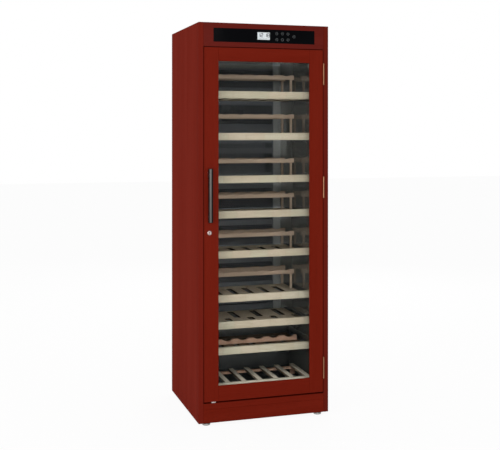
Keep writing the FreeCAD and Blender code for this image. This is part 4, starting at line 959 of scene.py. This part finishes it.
# Shelf 7: one board with five slots in front and four staggered behind, routed right through
# Shelf 8 carries a low pinkish cradle, scalloped like the bars, straight on its deck
board_low, board_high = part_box("shelf_7_deck")
slotted_board = milled_block("shelf_7_board", *zip(board_low, board_high), deck_edge)
slot_half = 0.0165
slot_round = 0.006
stagger_pitch = 0.059
cut_past = 0.03
slot_rows = (((-4, -2, 0, 2, 4), (-0.177, -0.022)), ((-3, -1, 1, 3), (-0.024, 0.136)))
cut_depth = (board_low.z - cut_past, board_high.z + cut_past)
cutters = []
for steps, along in slot_rows:
    for step in steps:
        across = about(step * stagger_pitch, slot_half)
        cutters.append(milled_block("slot_cutter", across, along, cut_depth, slot_round, 4))
cut_away(slotted_board, join_pieces("slot_cutters", cutters))
ease_edges(slotted_board, 0.0006, 1, 60)
shade_by_angle(slotted_board)
mark_shaded_sides(slotted_board)
fit_rack(slotted_board, rail_wood, 7)

cradle_wood = wood_finish("cradle_wood", "x", (196, 158, 136), (176, 138, 116), (122, 90, 74), **bare)
cradle_half = 0.240
cradle_front = -0.059
cradle_foot = shelf_tops[8] - deck_drop
cradle_dip = 0.010
cradle = scalloped_bar("shelf_8_cradle", cradle_half, cradle_front, cradle_foot, deck_drop, cradle_dip)
fit_rack(cradle, cradle_wood, 8)

dress(smooth_finish("runner_plastic", (38, 38, 40), (32, 32, 34), 0.5), "shelf_runners")

# Bottom rack: seven slats on a front rail and a cross batten, which stands on a block at each end
# The slats are paler than the shelves above, and the batten is a pinker offcut
rack_low, rack_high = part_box("bottom_rack")
rack_rail = 0.018
rack_slat_half = 0.012
rack_slat_thickness = 0.012
rack_batten_depth = 0.024
rack_batten_thickness = 0.010
ash = ((224, 213, 196), (208, 197, 179), (160, 142, 120))
pale_rail = wood_finish("pale_rail", "x", *ash, **bare)
# The bottom rack slats' upright faces get painted shade
pale_slat = wood_finish("pale_slat", "y", *ash, **bare, side_shade=(124, 110, 94))
slat_bottom = rack_high.z - rack_slat_thickness
batten_bottom = slat_bottom - rack_batten_thickness
rail_back = rack_low.y + rack_rail
rack_across = (rack_low.x, rack_high.x)
rack_up = (rack_low.z, rack_high.z)
rail_along = (rack_low.y, rail_back)
rack_front_rail = milled_block("bottom_rack_rail", rack_across, rail_along, rack_up, 0.002, 3)
fit_piece(rack_front_rail, pale_rail, "cabinet", "rack_wood", "bottom_rack")
rack_slats = []
for step in range(-3, 4):
    across = about(step * bottle_pitch, rack_slat_half)
    along = (rail_back, rack_high.y)
    rack_slats.append(milled_block("rack_slat", across, along, (slat_bottom, rack_high.z), deck_edge))
rack_slats = join_pieces("bottom_rack_slats", rack_slats)
mark_shaded_sides(rack_slats)
fit_piece(rack_slats, pale_slat, "cabinet", "rack_wood", "bottom_rack")
along = (rack_high.y - rack_batten_depth, rack_high.y)
batten_parts = [milled_block("batten", rack_across, along, (batten_bottom, slat_bottom), deck_edge)]
for left in (rack_low.x, rack_high.x - rack_batten_depth):
    across = (left, left + rack_batten_depth)
    batten_parts.append(milled_block("foot_block", across, along, (rack_low.z, batten_bottom), deck_edge))
batten = join_pieces("bottom_rack_batten", batten_parts)
fit_piece(batten, cradle_wood, "cabinet", "rack_wood", "bottom_rack")

# Door: two stiles and two rails of stained wood round double glazing in a black bead
# A soft ribbed seal with a magnet inside is pressed into a groove round its back
dress(wood_finish("door_upright", "z", *rail_stain), "door_stile_left", "door_stile_right")
dress(rail_veneer, "door_rail_top", "door_rail_bottom")
dress(smooth_finish("bead_plastic", (34, 34, 36), (28, 28, 30), 0.45), "glazing_frame")

pane_glass = bpy.data.materials.new("pane_glass")
pane_glass.use_nodes = True
pane = pane_glass.node_tree
pane_shader = pane.nodes["Principled BSDF"]
pane_tint = (0.97, 0.98, 0.975, 1)
pane_looks = {"Base Color": pane_tint, "Roughness": 0.0, "IOR": 1.06, "Transmission Weight": 1.0}
feed(pane, pane_shader, pane_looks)
clear_pane = add_node(pane, "BsdfTransparent", {"Color": pane_tint}).outputs[0]
pane_ray = add_node(pane, "LightPath").outputs["Is Shadow Ray"]
pane_mix = add_node(pane, "MixShader", {0: pane_ray, 1: pane_shader.outputs[0], 2: clear_pane}).outputs[0]
feed(pane, pane.nodes["Material Output"], {"Surface": pane_mix})
dress(pane_glass, "glass_outer", "glass_inner")

seal_rubber = smooth_finish("seal_rubber", (36, 36, 37), (30, 30, 31), 0.7)
seal_low, seal_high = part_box("door_gasket")
seal_width = 0.014
seal_groove = 0.002
seal = upright_sheet("door_seal", seal_low.y, (seal_low.x, seal_high.x), (seal_low.z, seal_high.z))
edit_whole(seal)
bpy.ops.mesh.select_mode(type="FACE")
bpy.ops.mesh.inset(thickness=seal_width)
bpy.ops.mesh.delete(type="FACE")
bpy.ops.mesh.select_all(action="SELECT")
seal_depth = (0, seal_high.y - seal_low.y, 0)
bpy.ops.mesh.extrude_region_move(TRANSFORM_OT_translate={"value": seal_depth})
bpy.ops.mesh.inset(thickness=(seal_width - seal_groove) / 2)
bpy.ops.mesh.extrude_region_move(TRANSFORM_OT_translate={"value": (0, -seal_groove, 0)})
turn_outwards()
ease_edges(seal, 0.0005, 2, 40)
shade_by_angle(seal)
fit_piece(seal, seal_rubber, "door", "seal_rubber", "door_gasket")

# Handle: a black extruded bar with a satin metal strip let into its face, on two bright posts
# The posts are screwed through the left stile from behind
handle_black = smooth_finish("handle_black", (13, 13, 14), (9, 9, 10), 0.5, level=0.08)
handle_satin = smooth_finish("handle_satin", (96, 94, 91), (88, 86, 83), 0.4, metal=1.0)
post_bright = smooth_finish("post_bright", (205, 205, 205), (185, 185, 186), 0.25, metal=1.0)
bar_low, bar_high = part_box("handle_bar")
strip_depth = 0.0016
strip_back = bar_low.y + strip_depth
strip_half = 0.0050
strip_middle = -0.2745
end_inset = 0.0022
body_across = (-0.2835, -0.2625)
body_along = (strip_back, bar_high.y)
handle_body = milled_block("handle_body", body_across, body_along, (bar_low.z, bar_high.z), 0.002, 3)
fit_piece(handle_body, handle_black, "door", "handle_steel", "handle_bar")
face_across = about(strip_middle, strip_half)
face_along = (bar_low.y, strip_back)
face_up = (bar_low.z + end_inset, bar_high.z - end_inset)
handle_face = milled_block("handle_face", face_across, face_along, face_up, 0.0005)
fit_piece(handle_face, handle_satin, "door", "handle_steel", "handle_bar")
across, along, (posts_bottom, posts_top) = zip(*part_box("handle_posts"))
post_height = 0.032
handle_posts = []
for bottom in (posts_bottom, posts_top - post_height):
    up = (bottom, bottom + post_height)
    handle_posts.append(milled_block("handle_post", across, along, up, 0.0015, 3))
fit_piece(join_pieces("handle_feet", handle_posts), post_bright, "door", "handle_steel", "handle_posts")

# Lock: a chromed cam lock, whose domed collar is pressed into the stile and whose plug turns in it
# The key slot is milled in the plug, and the cam behind hooks over the strike plate on the side panel
# The chrome is tinted pink, a painted reflection of the red wood round it
lock_chrome = smooth_finish("lock_chrome", (170, 155, 152), (152, 138, 135), 0.16, metal=1.0)
collar_low, collar_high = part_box("lock_housing")
plug_low, plug_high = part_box("lock_cylinder")
lock_x = (collar_low.x + collar_high.x) / 2
lock_z = (collar_low.z + collar_high.z) / 2
collar_length = collar_high.y - collar_low.y
collar_radius = (collar_high.x - collar_low.x) / 2
flange_depth = 0.0025
barrel_radius = 0.0095
plug_radius = 0.0065
running_gap = 0.0002
collar_profile = [
    (plug_radius + running_gap, 0.0),
    (barrel_radius, 0.0),
    (barrel_radius, collar_length - flange_depth),
    (collar_radius, collar_length - flange_depth),
    (collar_radius, collar_length - flange_depth * 0.6),
    (collar_radius - 0.0009, collar_length - flange_depth * 0.2),
    (collar_radius - 0.0022, collar_length),
    (plug_radius + running_gap + 0.0004, collar_length),
    (plug_radius + running_gap, collar_length - 0.0004),
]
lock_front = (lock_x, collar_high.y, lock_z)
collar = turned_part("lock_collar", collar_profile, 48, lock_front, facing="front", ring=True)
fit_piece(collar, lock_chrome, "door", "lock_chrome", "lock_housing")
cam_thickness = 0.0025
cam_half = 0.005
plug_back = plug_high.y - cam_thickness
plug_length = plug_back - plug_low.y
plug_profile = [
    (plug_radius - 0.0003, 0.0),
    (plug_radius, 0.0003),
    (plug_radius, plug_length - 0.0004),
    (plug_radius - 0.0004, plug_length),
]
plug = turned_part("lock_plug", plug_profile, 48, (lock_x, plug_back, lock_z), facing="front")
keyway_half = 0.0011
keyway_reach = 0.004
keyway_depth = (plug_low.y - 0.002, plug_low.y + 0.007)
keyway_up = about(lock_z, keyway_reach)
keyway = milled_block("keyway", about(lock_x, keyway_half), keyway_depth, keyway_up, 0.0003)
cut_away(plug, keyway)
cam_up = (plug_low.z, lock_z + cam_half)
cam = milled_block("cam", about(lock_x, cam_half), (plug_back, plug_high.y), cam_up, 0.0005)
plug = join_pieces("lock_plug_and_cam", [plug, cam])
fit_piece(plug, lock_chrome, "lock", "lock_chrome", "lock_cylinder")

# Hinges: three brass-coloured butt hinges, whose knuckles stand proud between the door and the right side
# One leaf of each is screwed to the side panel and carries two knuckles, the other is screwed to the door
hinge_brass = smooth_finish("hinge_brass", (150, 110, 80), (132, 94, 68), 0.35, metal=1.0)
dress(hinge_brass, "lock_strike")
hinge_middles = (0.2315, 1.108, 1.657)
hinge_length = 0.100
knuckle_gap = 0.0003
knuckle_radius = 0.0035
knuckle_length = (hinge_length - 2 * knuckle_gap) / 3
pin_spot = (0.2995, -0.2762)
leaf_along = (-0.2723, -0.2423)
web_along = (pin_spot[1], pin_spot[1] + 0.0049)
leaf_spans = {"frame": (0.2998, 0.3010), "door": (0.2980, 0.2992)}


def knuckle(bottom):
    """One rolled knuckle, with its rims eased."""
    ease = 0.0004
    profile = [
        (knuckle_radius - ease, 0.0),
        (knuckle_radius, ease),
        (knuckle_radius, knuckle_length - ease),
        (knuckle_radius - ease, knuckle_length),
    ]
    return turned_part("knuckle", profile, 24, (*pin_spot, bottom))


def finial(bottom, way):
    """The small button at one end of the pin."""
    profile = [
        (0.0030, 0.0),
        (0.0032, 0.0008 * way),
        (0.0028, 0.0018 * way),
        (0.0018, 0.0025 * way),
        (0.0006, 0.0027 * way),
    ]
    return turned_part("finial", profile, 20, (*pin_spot, bottom))


leaves = {"frame": [], "door": []}
for middle in hinge_middles:
    bottom = middle - hinge_length / 2
    up = (bottom, bottom + hinge_length)
    for side, across in leaf_spans.items():
        leaves[side].append(milled_block("leaf", across, leaf_along, up, 0.0002, 1))
    for place in range(3):
        side = "door" if place == 1 else "frame"
        start = bottom + place * (knuckle_length + knuckle_gap)
        up = (start, start + knuckle_length)
        leaves[side].append(knuckle(start))
        leaves[side].append(milled_block("web", leaf_spans[side], web_along, up, 0.0002, 1))
    leaves["frame"].append(finial(bottom, -1))
    leaves["frame"].append(finial(bottom + hinge_length, 1))
for side, body, name in (("frame", "cabinet", "hinge_side_leaves"), ("door", "door", "hinge_swing_leaves")):
    fit_piece(join_pieces(name, leaves[side]), hinge_brass, body, "hinge_metal", f"hinge_{side}_leaves")

# Rest pad: a small white nylon block screwed to the sill under the door's free corner
# The door's weight lands on it as the door shuts
nylon = smooth_finish("nylon", (226, 218, 214), (216, 208, 204), 0.45)
rest_pad = milled_block("rest_pad", *zip(*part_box("door_rest_pad")), 0.0006)
fit_piece(rest_pad, nylon, "cabinet", "nylon_white", "door_rest_pad")
